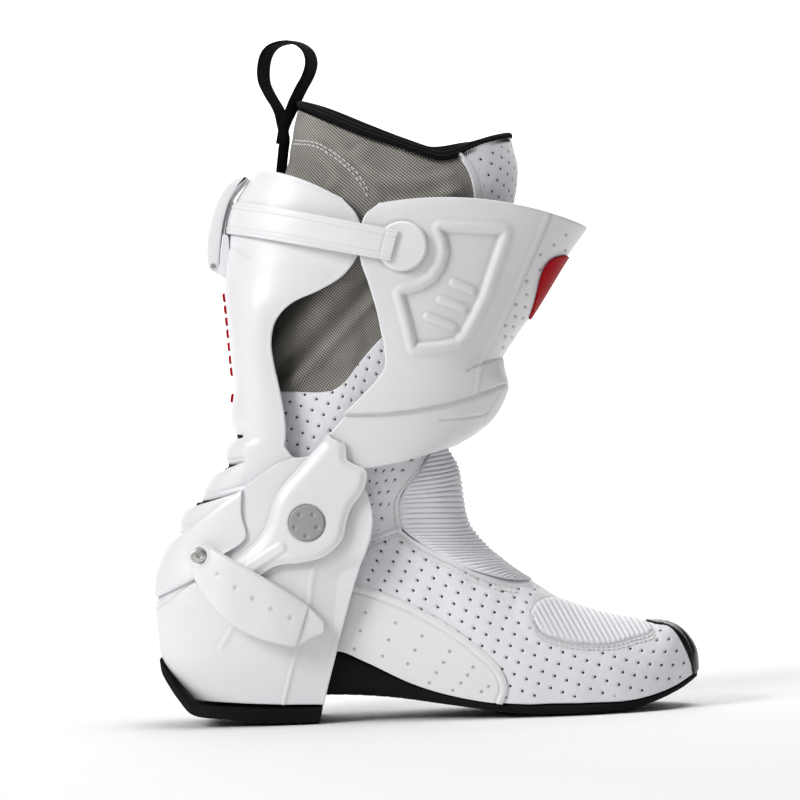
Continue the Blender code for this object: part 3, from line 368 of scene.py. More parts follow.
def disc_mesh(centre, y_face, radius, relief, depth, rings, spokes):
    """A round face looking outwards on the lateral side, with relief(r, x, z) and a rolled edge."""
    r = np.linspace(0.02, radius, rings)[:, None]
    a = np.linspace(0, 2 * math.pi, spokes, endpoint=False)[None, :]
    x, z = centre[0] + r * np.cos(a), centre[1] + r * np.sin(a)
    y = -y_face - relief(r + 0 * a, x - centre[0], z - centre[1])
    grid = np.stack([x, y, z], axis=2)
    back = grid[-1].copy()
    back[:, 1] = -y_face + depth
    points = np.concatenate([grid.reshape(-1, 3), back])
    return make_mesh(points, ring_faces(rings + 1, spokes), points[:, [0, 2]])


def bar_mesh(sections):
    """A closed bar through rings of points."""
    count = len(sections[0])
    points = np.concatenate(sections)
    faces = [face[::-1] for face in ring_faces(len(sections), count)]
    run = np.repeat(1.5 * np.arange(len(sections)), count)
    return make_mesh(points, faces, np.stack([points[:, 1], run], axis=1))


def tube_mesh(paths, radius, sides=8):
    """Closed round cords along several lines of points."""
    points, faces = [], []
    for path in paths:
        path = np.array(path, float)
        along = np.gradient(path, axis=0)
        along /= np.linalg.norm(along, axis=1, keepdims=True) + 1e-9
        other = np.cross(along, np.array([0.0, 1.0, 0.2]))
        other /= np.linalg.norm(other, axis=1, keepdims=True) + 1e-9
        third = np.cross(along, other)
        base = len(points)
        for n in range(len(path)):
            for k in range(sides):
                a = 2 * math.pi * k / sides
                points.append(path[n] + radius * (other[n] * math.cos(a) + third[n] * math.sin(a)))
        faces += ring_faces(len(path), sides, base)
    return make_mesh(points, faces)


def stitches(lines, length=2.0, gap=1.2):
    """Short thread pieces along lines of points, as paths for tube_mesh."""
    found = []
    for line in lines:
        run = lengths(line)
        start = 0.3
        while start + length < run[-1]:
            at = start + length * np.linspace(0, 1, 5)
            found.append(np.stack([np.interp(at, run, axis) for axis in line.T], axis=1))
            start += length + gap
    return found


# ---- materials ----
class Paint:
    """A node material under construction."""

    def __init__(self, name, color, roughness, metallic=0.0):
        self.mat = bpy.data.materials.new(name)
        self.mat.use_nodes = True
        self.tree = self.mat.node_tree
        self.shader = self.tree.nodes["Principled BSDF"]
        self.shader.inputs["Base Color"].default_value = (*color, 1.0)
        self.shader.inputs["Roughness"].default_value = roughness
        self.shader.inputs["Metallic"].default_value = metallic

    def node(self, kind, *inputs, out=0, **settings):
        node = self.tree.nodes.new("ShaderNode" + kind)
        for key, value in settings.items():
            setattr(node, key, value)
        for socket, value in zip(node.inputs, inputs):
            self.feed(socket, value)
        return node.outputs[out]

    def feed(self, socket, value):
        if isinstance(value, bpy.types.NodeSocket):
            self.tree.links.new(value, socket)
        elif value is not None:
            socket.default_value = value

    def math(self, operation, a, b=0.5):
        return self.node("Math", a, b, operation=operation)

    def ease(self, value, low, high, start=0.0, end=1.0):
        return self.node("MapRange", value, low, high, start, end, interpolation_type="SMOOTHSTEP")

    def noise(self, scale, detail=2.0, vector=None):
        if vector is None:
            vector = self.node("TexCoord", out=3)
        return self.node("TexNoise", vector, None, scale, detail)

    def mark(self, key):
        """A value kept on the points of a skin: the marks of punched holes and of painted shade in
        dimples, or the painted shade of hollows.
        """
        return self.node("Attribute", attribute_name=key, out=2)

    def wave(self, axis, turn, pitch):
        """A sine over the surface, along its first or second axis."""
        along = self.node("SeparateXYZ", self.surface(turn, pitch), out=axis)
        return self.math("SINE", self.math("MULTIPLY", along, 2 * math.pi))

    def surface(self, turn, pitch):
        """Millimetres over the surface, turned, in units of a pitch."""
        place_on = self.node("UVMap", uv_map="surface")
        return self.node("Mapping", place_on, None, (0, 0, math.radians(turn)), (1 / pitch, 1 / pitch, 1))

    def mix(self, factor, first, second):
        first = (*first, 1.0) if isinstance(first, tuple) else first
        second = (*second, 1.0) if isinstance(second, tuple) else second
        return self.node("MixRGB", factor, first, second)

    def finish(self, color=None, roughness=None, height=None, depth=0.05):
        """Join what was made to the shader; depth is the bump's height in mm."""
        if color is not None:
            self.feed(self.shader.inputs["Base Color"], color)
        if roughness is not None:
            self.feed(self.shader.inputs["Roughness"], roughness)
        if height is not None:
            bump = self.tree.nodes.new("ShaderNodeBump")
            bump.inputs["Strength"].default_value = 1.0
            bump.inputs["Distance"].default_value = depth * MM
            self.tree.links.new(height, bump.inputs["Height"])
            self.tree.links.new(bump.outputs[0], self.shader.inputs["Normal"])
        return self.mat


def plastic(name, light, dark, roughness, grain=0.015, gleam=0.5):
    """Moulded plastic: a faint mottling, uneven gloss, a fine grain, and painted shade in hollows and
    dimples.
    """
    p = Paint(name, light, roughness)
    p.shader.inputs["Specular IOR Level"].default_value = gleam
    slow = p.noise(16.0, 3.0)
    color = p.mix(p.ease(slow, 0.35, 0.7), light, dark)
    # painted shade: marked hollows and dimples are darkened towards a third of the colour
    painted_hollow_shade, painted_dot_shade = p.mark("painted_cavity_shade"), p.mark("holes_and_painted_shade")
    shade = p.math("MAXIMUM", p.math("MULTIPLY", painted_hollow_shade, 0.45), p.math("MULTIPLY", painted_dot_shade, 0.75))
    color = p.mix(shade, color, tuple(0.35 * c for c in light))
    gloss = p.ease(p.noise(55.0, 4.0), 0.3, 0.75, roughness - 0.05, roughness + 0.07)
    return p.finish(color, gloss, p.noise(1500.0, 2.0), grain)


def leather(name, color, dark, turn, pitch=7.0, radius=0.72):
    """Microfibre with punched holes where the surface is marked for them, and painted shade in hollows."""
    p = Paint(name, color, 0.5)
    grain = p.noise(900.0, 4.0)
    slow = p.noise(22.0, 3.0)
    cell = p.node("VectorMath", p.surface(turn, pitch), operation="FRACTION")
    offset = p.node("VectorMath", cell, (0.5, 0.5, 0.0), operation="SUBTRACT")
    distance = p.math("MULTIPLY", p.node("VectorMath", offset, operation="LENGTH", out=1), pitch)
    marked = p.mark("holes_and_painted_shade")
    hole = p.math("MULTIPLY", p.ease(distance, radius - 0.06, radius + 0.10, 1.0, 0.0), marked)
    dish = p.math("MULTIPLY", p.ease(distance, radius, radius + 1.1, 1.0, 0.0), marked)
    skin = p.mix(p.ease(slow, 0.35, 0.7), color, dark)
    # painted shade in the relief's hollows
    painted_hollow_shade = p.math("MULTIPLY", p.mark("painted_cavity_shade"), 0.6)
    skin = p.mix(painted_hollow_shade, skin, tuple(0.3 * c for c in color))
    shown = p.mix(hole, skin, (0.012, 0.012, 0.014))
    height = p.math("SUBTRACT", p.math("MULTIPLY", grain, 0.09), dish)
    p.shader.inputs["Sheen Weight"].default_value = 0.12
    gloss = p.ease(p.noise(70.0, 3.0), 0.3, 0.7, 0.42, 0.56)
    return p.finish(shown, gloss, height, 0.45)


def weave(name, dark, light, pitch, depth=0.12):
    """A knitted mesh: light knots on a dark ground, in two crossing directions, and painted shade in
    hollows.
    """
    p = Paint(name, dark, 0.85)
    knots = p.ease(p.math("MULTIPLY", p.wave(0, 8.0, pitch), p.wave(0, -82.0, pitch)), -0.35, 0.55)
    slow = p.ease(p.noise(40.0, 4.0), 0.3, 0.7, 0.75, 1.0)
    color = p.mix(p.math("MULTIPLY", knots, slow), dark, light)
    # painted shade in hollows and fold valleys
    painted_hollow_shade = p.math("MULTIPLY", p.mark("painted_cavity_shade"), 0.8)
    color = p.mix(painted_hollow_shade, color, tuple(0.4 * c for c in dark))
    p.shader.inputs["Specular IOR Level"].default_value = 0.2
    return p.finish(color, None, knots, depth)


def webbing(name, color, light, pitch, turn=0.0, depth=0.25):
    """Woven tape with cross ribs."""
    p = Paint(name, color, 0.8)
    p.shader.inputs["Specular IOR Level"].default_value = 0.05
    ribs = p.ease(p.wave(1, turn, pitch), -0.7, 0.9)
    yarn = p.ease(p.wave(0, turn, pitch * 0.8), -0.8, 0.9, 0.6, 1.0)
    height = p.math("MULTIPLY", ribs, yarn)
    p.shader.inputs["Sheen Weight"].default_value = 0.03
    return p.finish(p.mix(height, color, light), None, height, depth)


def metal(name, color, roughness):
    p = Paint(name, color, roughness, 1.0)
    brushed = p.node("Mapping", p.node("TexCoord", out=3), None, None, (900, 60, 60))
    gloss = p.ease(p.noise(3.0, 3.0, brushed), 0.3, 0.7, roughness - 0.07, roughness + 0.1)
    return p.finish(None, gloss, p.noise(2.0, 2.0, brushed), 0.01)


SHELL = plastic("white_shell", (0.80, 0.80, 0.815), (0.765, 0.765, 0.785), 0.36)
GUARD = plastic("off_white_plastic", (0.80, 0.80, 0.81), (0.77, 0.77, 0.775), 0.45, 0.03)
CAP = plastic("cap_grey", (0.35, 0.35, 0.355), (0.31, 0.31, 0.315), 0.5, 0.05)
RED = plastic("red", (0.40, 0.004, 0.010), (0.33, 0.003, 0.008), 0.5, 0.02, 0.03)
RUBBER = plastic("black_rubber", (0.007, 0.007, 0.008), (0.011, 0.011, 0.012), 0.65, 0.08, 0.05)
GLOSS = plastic("black_gloss", (0.004, 0.004, 0.005), (0.006, 0.006, 0.007), 0.2, 0.004, 0.1)
FOOT_LEATHER = leather("foot_leather", (0.80, 0.80, 0.83), (0.76, 0.76, 0.80), 21.0)
ANKLE_LEATHER = leather("ankle_leather", (0.80, 0.80, 0.83), (0.76, 0.76, 0.80), -21.0)
STRETCH = leather("stretch_leather", (0.80, 0.80, 0.83), (0.75, 0.75, 0.79), 0.0)
MESH = weave("grey_mesh", (0.085, 0.08, 0.072), (0.56, 0.535, 0.49), 1.8)
LINING = weave("black_foam", (0.012, 0.012, 0.013), (0.05, 0.05, 0.052), 1.6)
TAPE = webbing("black_webbing", (0.005, 0.005, 0.006), (0.020, 0.020, 0.021), 1.9)
ELASTIC = webbing("black_elastic", (0.008, 0.008, 0.008), (0.03, 0.028, 0.026), 2.4, 90.0)
STEEL = metal("steel", (0.55, 0.54, 0.52), 0.3)
THREAD = plastic("white_thread", (0.72, 0.70, 0.69), (0.62, 0.60, 0.59), 0.7, 0.05)

# the CAD nodes that no piece replaces
for node_name, mat in (("shank_plate", STEEL), ("buckle_pin", STEEL),
                       ("hinge_pin_lateral", STEEL), ("hinge_pin_medial", STEEL),
                       ("hinge_washer_lateral", CAP), ("hinge_washer_medial", CAP)):
    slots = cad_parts[node_name].data.materials
    slots.clear()
    slots.append(mat)


# ---- the foot ----
SOLE_TOP = curve([(-144, 40), (-50, 39.6), (-35, 33.4), (-10, 20.7), (12, 13.2), (40, 7.9), (73, 6.6),
                  (112, 6.6), (135, 11.5), (151, 19)])
SOLE_BOTTOM = curve([(-144, 15), (-55, 14.5), (-22, 12.2), (12, 7), (50, 1.2), (75, 0), (98, 0),
                     (106, 0.6), (118, 2.4), (140, 10), (151, 16)])
FOOT_TOP = curve([(-60, 150), (0, 130), (30, 100.5), (44, 84.5), (59, 73.7), (75, 63), (92, 55.6),
                  (114, 49.8), (125, 47.6), (131, 47.4), (136.5, 46.2), (143, 42.2), (148, 36),
                  (150.4, 30.5), (151.2, 26)])
FOOT_WIDTH = curve([(-144, 0), (-142.5, 9), (-138, 17), (-130, 24.5), (-118, 30), (-100, 33.5),
                    (-75, 34.5), (-30, 34), (0, 37), (25, 42), (50, 46.5), (75, 48.5), (95, 46.5),
                    (115, 41), (130, 33), (141, 22), (147, 13), (150, 6), (151.2, 0)])
HEEL_REACH = curve([(14, 0.72), (24, 0.86), (37, 0.96), (50, 0.99), (60, 1), (75, 0.99), (90, 0.94),
                    (102, 0.875), (112, 0.80)])
TOP_LINE = curve([(-144, 101), (-63.5, 103), (-40, 97), (-35.5, 96.2), (-29.7, 99.9), (-21.2, 102.9),
                  (-13.8, 105.5), (-11.6, 104.8), (-4.5, 99), (3.7, 93.6), (14.7, 88.2), (25.6, 81.6),
                  (36.7, 77.3), (47.8, 74.8), (54, 74.4), (59, 73.7)])
POWER = 2.5


def toe_swing(x):
    """How far the toe turns inwards."""
    return 6.0 * ramp(x, -20, 130)


def foot_low(x):
    return SOLE_TOP(x) + 0.8


def foot_y(x, z):
    """Half width of the foot at a place in the side view."""
    low = foot_low(x)
    rise = np.clip((z - low) / (FOOT_TOP(x) - low), 0, 1)
    return FOOT_WIDTH(x) * (1 - rise ** POWER) ** (1 / POWER)


SHAFT_REAR = curve([(110, -124.5), (125, -113.5), (137, -105), (150, -98.5), (165, -95.5), (180, -93.5),
                    (200, -92.5), (225, -89), (250, -85), (275, -79), (300, -71), (320, -66),
                    (346, -60)])
SHAFT_FRONT = curve([(110, 21), (125, 20), (137, 18), (150, 15), (165, 20), (180, 27), (200, 33),
                     (225, 41), (250, 48), (275, 55), (300, 60), (320, 57), (346, 52)])
SHAFT_WIDTH = curve([(110, 34.5), (137, 35), (150, 36.5), (165, 38.5), (180, 40.5), (200, 42),
                     (225, 44.5), (250, 46), (275, 46.8), (300, 48), (346, 48)])
SHAFT_POWER = 2.3


def shaft_y(x, z):
    """Half width of the shaft at a place in the side view."""
    rear, front = SHAFT_REAR(z), SHAFT_FRONT(z)
    away = np.clip(np.abs((2 * x - rear - front) / (front - rear)), 0, 1)
    return SHAFT_WIDTH(z) * (1 - away ** SHAFT_POWER) ** (1 / SHAFT_POWER)


def bootie_y(x, z):
    """Half width of the bootie's outside, the foot below and the shaft above."""
    share = ramp(z, 95, 128) * ramp(x, -95, -70) + ramp(-x, 70, 95)
    return foot_y(x, z) * (1 - share) + shaft_y(x, z) * share


def on_surface(path, y_of, proud=0.3, swing=True):
    """A side-view path laid on the surface, once on each side."""
    x, z = np.array(path, float).T
    slope_x = (y_of(x + 1, z) - y_of(x - 1, z)) / 2
    slope_z = (y_of(x, z + 1) - y_of(x, z - 1)) / 2
    size = np.sqrt(1 + slope_x ** 2 + slope_z ** 2)
    half = y_of(x, z) + proud / size
    shift = toe_swing(x) if swing else 0 * x
    flat_x, flat_z = x - proud * slope_x / size, z - proud * slope_z / size
    return [np.stack([flat_x, sign * half + shift, flat_z], axis=1) for sign in (-1, 1)]


def wrinkles(x, z, seed, size=0.5):
    """Broad soft unevenness of cloth or leather."""
    rng = np.random.default_rng(seed)
    total = np.zeros(np.shape(x))
    for _ in range(9):
        angle, length, phase = rng.uniform(0, math.pi), rng.uniform(16, 46), rng.uniform(0, 6.3)
        wave = (x * math.cos(angle) + z * math.sin(angle)) / length * 2 * math.pi + phase
        total += np.sin(wave + 0.8 * np.sin(wave * 0.37 + phase)) * length / 40
    return size * total / 3


TOE_OVAL = smooth_path([(57.7, 55.2), (60, 60.6), (65, 63.4), (71, 63.6), (77, 62), (92, 60), (110, 55),
                        (125.1, 46), (124, 42.5), (113.8, 40.3), (102.5, 38.1), (91.3, 38.3),
                        (74.6, 41.2), (63.5, 46), (57.7, 55.2)], 90)
INNER_NOSE = curve([(124.5, 47.6), (128, 46.6), (135.3, 44.6), (141.7, 36.5), (146.3, 25.1),
                    (147.3, 18)])


def foot_half(xs, low_of, columns):
    """Half of the foot's skin, from the top line or the top down to low_of."""
    x = xs[:, None]
    t = (1 - np.cos(np.linspace(0, math.pi, 260)))[None, :] / 2
    low, top = foot_low(x), FOOT_TOP(x)
    high = np.where(x < 59, np.minimum(TOP_LINE(x), top), top)
    begin = np.arcsin(np.clip((high - low) / (top - low), 0, 1) ** (POWER / 2))
    end = np.arcsin(np.clip((low_of(x) - low) / (top - low), 0, 1) ** (POWER / 2))
    angle = begin + (end - begin) * t
    z = low + (top - low) * np.sin(angle) ** (2 / POWER)
    y = FOOT_WIDTH(x) * np.cos(angle).clip(0) ** (2 / POWER)
    y = np.where(angle > math.pi / 2 - 1e-6, 0.0, y)
    share = ramp(z, 95, 128) * ramp(x, -95, -70)
    y = y * (1 - share) + shaft_y(x + 0 * z, z) * share
    x = np.where(x < -60, -60 + (x + 60) * HEEL_REACH(z), x + 0 * z)
    return even_columns(np.stack([x, y, z], axis=2), columns)


def swung(grid):
    """A grid of the foot with its toe turned inwards."""
    grid = grid.copy()
    grid[:, :, 1] += toe_swing(grid[:, :, 0])
    return grid


def build_foot_leather():
    """One skin from heel to toe, open on top behind the vamp."""
    xs = np.concatenate([np.linspace(-144, -44, 50), np.linspace(-43, 56, 96), np.arange(56.6, 128, 0.55),
                         np.linspace(128.3, 150.9, 36)])
    half = foot_half(xs, foot_low, 84)
    near_top = half[:, :1] * 0.92 + half[:, 1:2] * 0.08
    half = np.concatenate([half[:, :1], near_top, half[:, 1:]], axis=1)
    grid = both_halves(half)
    rise = lengths(half[:, ::-1], 1)[:, ::-1]
    rise = np.concatenate([rise[:, :0:-1], rise], axis=1)
    marks = np.stack([grid[:, :, 0], rise], axis=2)
    middle = half.shape[1] - 1
    cells = np.ones((grid.shape[0] - 1, grid.shape[1] - 1), bool)
    cells[:np.searchsorted(xs, 58.8), middle - 1] = False
    x, z = side_view(grid)
    border = path_distance(smooth_path([(-35.5, 96.2), (-29.7, 99.9), (-21.2, 102.9), (-13.8, 105.5),
                                        (-4.5, 99), (14.7, 88.2), (36.7, 77.3), (58, 73.4)], 50), x, z)
    oval = signed_distance(TOE_OVAL, x, z)
    inside = 1 - ramp(oval, -1.0, 0.1)
    ribs = 1 - np.abs(np.sin(math.pi * (x - 57 + 0.5 * (z - 45)) / 3.0)) ** 0.8
    relief = inside * (0.9 - 0.8 * ribs) - 0.4 * ridge(oval - 0.5, 0.7) - 0.2 * ridge(oval - 2.4, 0.6)
    relief = relief - 0.35 * ridge(border - 3.2, 0.6)
    relief += 0.35 * np.sin(x / 8.0 + z / 13.0) * ramp(oval, 4, 12) * ramp(border, 4, 16)
    relief += wrinkles(x, z, 3, 0.35) * ramp(oval, 4, 12)
    holes_and_painted_shade = ramp(border, 3.0, 3.4) * ramp(rise, 2.0, 3.0) * ramp(x, -42, -40)
    holes_and_painted_shade *= ramp(oval, 3.4, 3.8) * np.where(x > 122, ramp(INNER_NOSE(x) - z, 1.0, 2.0), 1.0)
    mesh = skin_mesh(swung(grid), 2.0, (0, 0, 50), relief, cells, holes_and_painted_shade=holes_and_painted_shade, marks=marks)
    place("foot_leather", mesh, FOOT_LEATHER, "foot", ["foot_upper", "toe_flex_panel"])


def build_bumper():
    """The bumper hugs the nose in front of a slanting line."""
    nose_x = np.linspace(124.6, 151.15, 70)
    half = foot_half(nose_x, lambda x: np.maximum(INNER_NOSE(x), foot_low(x)), 60)
    grid = swung(both_halves(half))
    x, z = side_view(grid)
    slit = smooth_path([(133, 46.6), (137.5, 45), (142.2, 41), (145.6, 35.6), (147.6, 30)])
    relief = 1.0 - 0.45 * ridge(path_distance(slit, x, z), 0.6)
    mesh = skin_mesh(grid, 1.6, (120, 5, 25), relief, lip=0.9)
    place("toe_bumper_cover", mesh, GLOSS, "foot", ["toe_bumper"])


def tread(run, y, half, depth):
    """Chevron grooves that stop short of the edge."""
    wave = ((run + 0.5 * np.abs(y)) % 8.0) / 8.0
    groove = ramp(0.5 - np.abs(wave - 0.5), 0.34, 0.40)
    return depth * groove * ramp(half - np.abs(y), 4.0, 5.5)


def sole_section():
    """A ring of points round a rounded box: its side from -1 to 1 and its rise from 0 to 1."""
    turn = np.linspace(0, 2 * math.pi, 96, endpoint=False)
    side = np.sign(np.cos(turn)) * np.abs(np.cos(turn)) ** (2 / 9)
    return side, 0.5 + 0.5 * np.sign(np.sin(turn)) * np.abs(np.sin(turn)) ** (2 / 7)


def build_outsole():
    side, rise = sole_section()
    sections = []
    for x in np.linspace(-143.4, 150.7, 230):
        half = max(FOOT_WIDTH(x), 4.0)
        low, high = SOLE_BOTTOM(x), SOLE_TOP(x)
        y = side * (half - 3.2 * (1 - rise) ** 2 * min(half / 20, 1))
        z = low + (high - low) * rise + tread(x + 150, y, half, 1.3) * (rise < 0.04)
        z = np.maximum(z, 0.0)
        run = np.where(x < -60, -60 + (x + 60) * HEEL_REACH(z) * 0.97, x)
        welt = 0.5 * ridge(high - z - 2.0, 0.9) * np.sign(side) * (np.abs(side) > 0.9)
        sections.append(np.stack([run, y + welt + toe_swing(x), z], axis=1))
    place("sole_rubber", bar_mesh(sections), RUBBER, "foot", ["outsole"])


def build_heel_rubber():
    side, rise = sole_section()
    tread_line = smooth_path([(-149.2, 36.4), (-148.2, 29.5), (-143.7, 21.6), (-138.2, 13.8),
                              (-132.9, 7.5), (-127.5, 5.2), (-111.7, 3.3), (-95, 1), (-75, 0),
                              (-61, 0)], 110)
    top_line = smooth_path([(-148.8, 37.6), (-144.9, 30.8), (-140.4, 23.8), (-135.8, 17.6),
                            (-131.2, 12.6), (-126, 11.8), (-111, 11.2), (-94, 10.5), (-75, 9.8),
                            (-59.2, 9.6)], 110)
    width = curve([(-149, 13), (-145, 19.5), (-140, 25.5), (-130, 31.5), (-120, 34.5), (-95, 36.5),
                   (-59, 36.8)])
    sections = []
    for n, (low, high) in enumerate(zip(tread_line, top_line)):
        half = width(low[0])
        y = side * half
        share = (rise + tread(n, y, half, 0.2) * (rise < 0.04))[:, None]
        x, z = (low * (1 - share) + high * share).T
        sections.append(np.stack([x, y, np.maximum(z, 0.0)], axis=1))
    place("heel_rubber", bar_mesh(sections), RUBBER, "foot", ["heel_sole"])


def build_insole():
    """The footbed is dished and has a heel cushion."""
    rows = []
    across = np.linspace(-1, 1, 50)
    for x in np.linspace(-133, 134, 120):
        z = SOLE_TOP(x) + 6.6 + 2.2 * np.abs(across) ** 3 - ridge(x + 105, 22)
        run = -60 + (x + 60) * HEEL_REACH(z) * 0.95 if x < -60 else 0 * z + x
        rows.append(np.stack([run, max(FOOT_WIDTH(x) - 5.6, 3.0) * across + toe_swing(x), z], axis=1))
    grid = np.array(rows)
    place("insole", skin_mesh(grid, 2.2, (0, 0, -500)), LINING, "foot", ["footbed"])


GUARD_RIM = smooth_path([(-62, 78), (-37, 75), (-14, 65.7), (0, 58.5), (13.3, 50.1), (27, 39.5),
                         (37.7, 29.1), (41.6, 22), (42.6, 15), (39.7, 7.7)], 90)
GUARD_DOTS = [(-33.4, 60.2), (-16.9, 53.8), (-2.6, 46.2), (12.2, 37.3), (24.8, 28.4), (-36.6, 50.3),
              (-21.1, 44.7), (-6.8, 38.5), (8.7, 31.2), (21.6, 24), (32.8, 17.5), (-40.3, 40.3),
              (-24.8, 35.8), (-11, 31.1), (4.5, 25.8), (17.8, 19.7), (28.8, 14.8), (0.4, 20.3),
              (13.1, 15.9)]


def build_guards():
    # columns run from the sole up to the rim line, rows from the heel to the rounded front
    rim = smooth_path(GUARD_RIM, 300)
    base = np.stack([np.minimum(rim[:, 0], GUARD_RIM[-1, 0]), SOLE_TOP(rim[:, 0]) + 0.3], axis=1)
    x, z = ruled(base, rim, 150).transpose(2, 0, 1)
    y = foot_y(x, z) + 1.5
    edge = path_distance(GUARD_RIM, x, z)
    relief = 0.5 * ramp(edge, 0.6, 1.2) * (1 - ramp(edge, 2.8, 3.4)) - 0.45 * ridge(edge - 3.9, 0.5)
    dots = 1 - ramp(point_distance(GUARD_DOTS, x, z), 0.6, 1.2)
    relief = relief - 0.4 * dots
    for side, sign in (("lateral", -1), ("medial", 1)):
        grid = np.stack([x, sign * y + toe_swing(x), z], axis=2)
        # the dimples get painted shade through the hole marks
        mesh = skin_mesh(grid, 1.1, (0, 0, 45), relief, lip=1.0, holes_and_painted_shade=dots)
        place("side_guard_cover_" + side, mesh, GUARD, "foot",
              ["side_guard_" + side])


# ---- the bootie above the foot ----
CLOTH = 1.9
MESH_EDGE = curve([(-100, 183), (-75, 183), (-49, 182), (-40, 187), (-32, 197), (-18, 211), (0, 222),
                   (45, 236)])
BINDING_EDGE = curve([(-66, 346), (-60, 341.5), (-49, 334.8), (-27, 323.4), (-5, 314.7), (6, 310.4),
                      (17, 307.2), (25.6, 308.6), (34, 312.2), (45, 316.2), (56, 319.5)])
COLLAR_EDGE = curve([(-66, 350.5), (-60, 346), (-43, 339), (-21, 328.8), (0, 319.8), (17, 314.5),
                     (34, 317.8), (46, 321.3), (56, 324)])
PANEL_EDGE = curve([(104, -11.8), (109.4, -12.6), (113, -13.2), (120, -13), (127, -10), (136, -2),
                    (145, 3), (150, 4), (200, 14), (250, 27), (283, 35.4), (292, 35.4), (302, 32.6),
                    (312, 26)])


def shaft_column(x, z):
    """How far round the shaft a place lies, 0 at the rear to 1 in front."""
    rear, front = SHAFT_REAR(z), SHAFT_FRONT(z)
    away = np.clip((rear + front - 2 * x) / (front - rear), -1, 1)
    return np.arccos(np.sign(away) * np.abs(away) ** (SHAFT_POWER / 2)) / math.pi


def shaft_x(column, z):
    """The inverse of shaft_column."""
    rear, front = SHAFT_REAR(z), SHAFT_FRONT(z)
    cosine = np.cos(math.pi * column)
    return (rear + front) / 2 - (front - rear) / 2 * np.sign(cosine) * np.abs(cosine) ** (2 / SHAFT_POWER)


def shaft_half(bottom, top, rows, columns, first, last):
    """Half of a band round the shaft; first and last give its columns, 0 rear to 1 front, at a height."""
    v = np.linspace(0, 1, rows)[:, None]
    u = (1 - np.cos(np.linspace(0, math.pi, 220)))[None, :] / 2
    x = np.zeros((rows, 220)) - 30.0
    for _ in range(30):
        z = bottom(x) + (top(x) - bottom(x)) * v
        column = first(z) + (last(z) - first(z)) * u
        x = 0.5 * x + 0.5 * shaft_x(column, z)
    z = bottom(x) + (top(x) - bottom(x)) * v
    y = bootie_y(x, z)
    y = np.where((column < 1e-6) | (column > 1 - 1e-6), 0.0, y)
    return even_columns(np.stack([x, y, z], axis=2), columns)


def raise_inner_rim(grid):
    """The collar stands higher on the inner side of the leg."""
    grid = grid.copy()
    x, y, z = grid[:, :, 0], grid[:, :, 1], grid[:, :, 2]
    near_top = ramp(z - BINDING_EDGE(x) + 45, 0, 45)
    grid[:, :, 2] += 7.0 * ridge(x - 20, 26) * ramp(y, -12, 26) * near_top
    return grid


STITCH_ARC = smooth_path([(-63.7, 320.8), (-50.9, 317.5), (-40.5, 310.4), (-33.5, 304), (-28.1, 297.1),
                          (-23.4, 288)])
FOLDS = [[(20, 300), (0, 296), (-20, 300), (-46, 312)],
         [(-66, 262), (-40, 300), (-22, 318)],
         [(26, 290), (8, 285), (-10, 284)]]


def shaft_seam(shift):
    return lambda z: shaft_column(PANEL_EDGE(z) + shift, z)


def shaft_back(z):
    return 0 * z


def shaft_front(z):
    return 0 * z + 1


def ankle_top(x):
    return np.maximum(TOP_LINE(x), 95.0)


def build_ankle_leather():
    half = shaft_half(lambda x: ankle_top(x) - 1.0, MESH_EDGE, 150, 150, shaft_back, shaft_seam(-0.4))
    grid = both_halves(half)
    x, z = side_view(grid)
    side_seam = PANEL_EDGE(z) - x
    low = z - ankle_top(x)
    relief = 0.55 + wrinkles(x, z, 4, 0.5) * ramp(side_seam, 1, 12) - 0.35 * ridge(side_seam - 1.8, 0.5)
    relief -= 0.3 * ridge(low - 1.5, 0.5)
    holes_and_painted_shade = ramp(side_seam, 5.0, 5.6) * ramp(low, 3.0, 4.0)
    ankle = place("ankle_leather", skin_mesh(grid, CLOTH, (-50, 0, 140), relief, holes_and_painted_shade=holes_and_painted_shade),
                  ANKLE_LEATHER, None, ["leather_ankle"])
    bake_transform(ankle)


def build_mesh_shaft():
    half = shaft_half(MESH_EDGE, lambda x: BINDING_EDGE(x) + 1.5, 150, 170, shaft_back, shaft_seam(-0.4))
    grid = raise_inner_rim(both_halves(half))
    x, z = side_view(grid)
    relief = wrinkles(x, z, 11, 1.1)
    for fold in FOLDS:
        relief = relief + 1.6 * ridge(path_distance(smooth_path(fold, 30), x, z), 4.0)
    # slanting folds in the low part, measured across them; no hollow may reach the inner wall
    above = 0.716 * (z - 227.0) - 0.698 * (x + 27.9)
    low_part = 1 - ramp(z, 240, 256)
    relief += low_part * (2.8 * ridge(above, 4.0) - 1.6 * ridge(above - 9.0, 5.0)
                          + 2.0 * ridge(above - 22.0, 7.0))
    # painted shade: a little over the whole low part, more in the valleys beside the slanting folds, and
    # more towards the rear
    shade = low_part * (0.25 + 0.6 * ridge(above - 8.0, 5.0) + 0.6 * ridge(above - 30.0, 8.0)
                        + 0.35 * ramp(-x, 52, 74))
    relief *= ramp(BINDING_EDGE(x) - z, 0, 10) * ramp(PANEL_EDGE(z) - x, 1, 14)
    relief *= ramp(z - MESH_EDGE(x), 0, 9) * ramp(path_distance(STITCH_ARC, x, z), 3.0, 9.0)
    relief = np.maximum(relief, 0.7 - CLOTH)
    marks = np.stack([surface_map(grid)[:, :, 0], z], axis=2)
    cloth = skin_mesh(grid, CLOTH, (-15, 0, 260), relief, marks=marks, shade=shade)
    place("mesh_shaft_cloth", cloth, MESH, "cuff", ["mesh_shaft"])


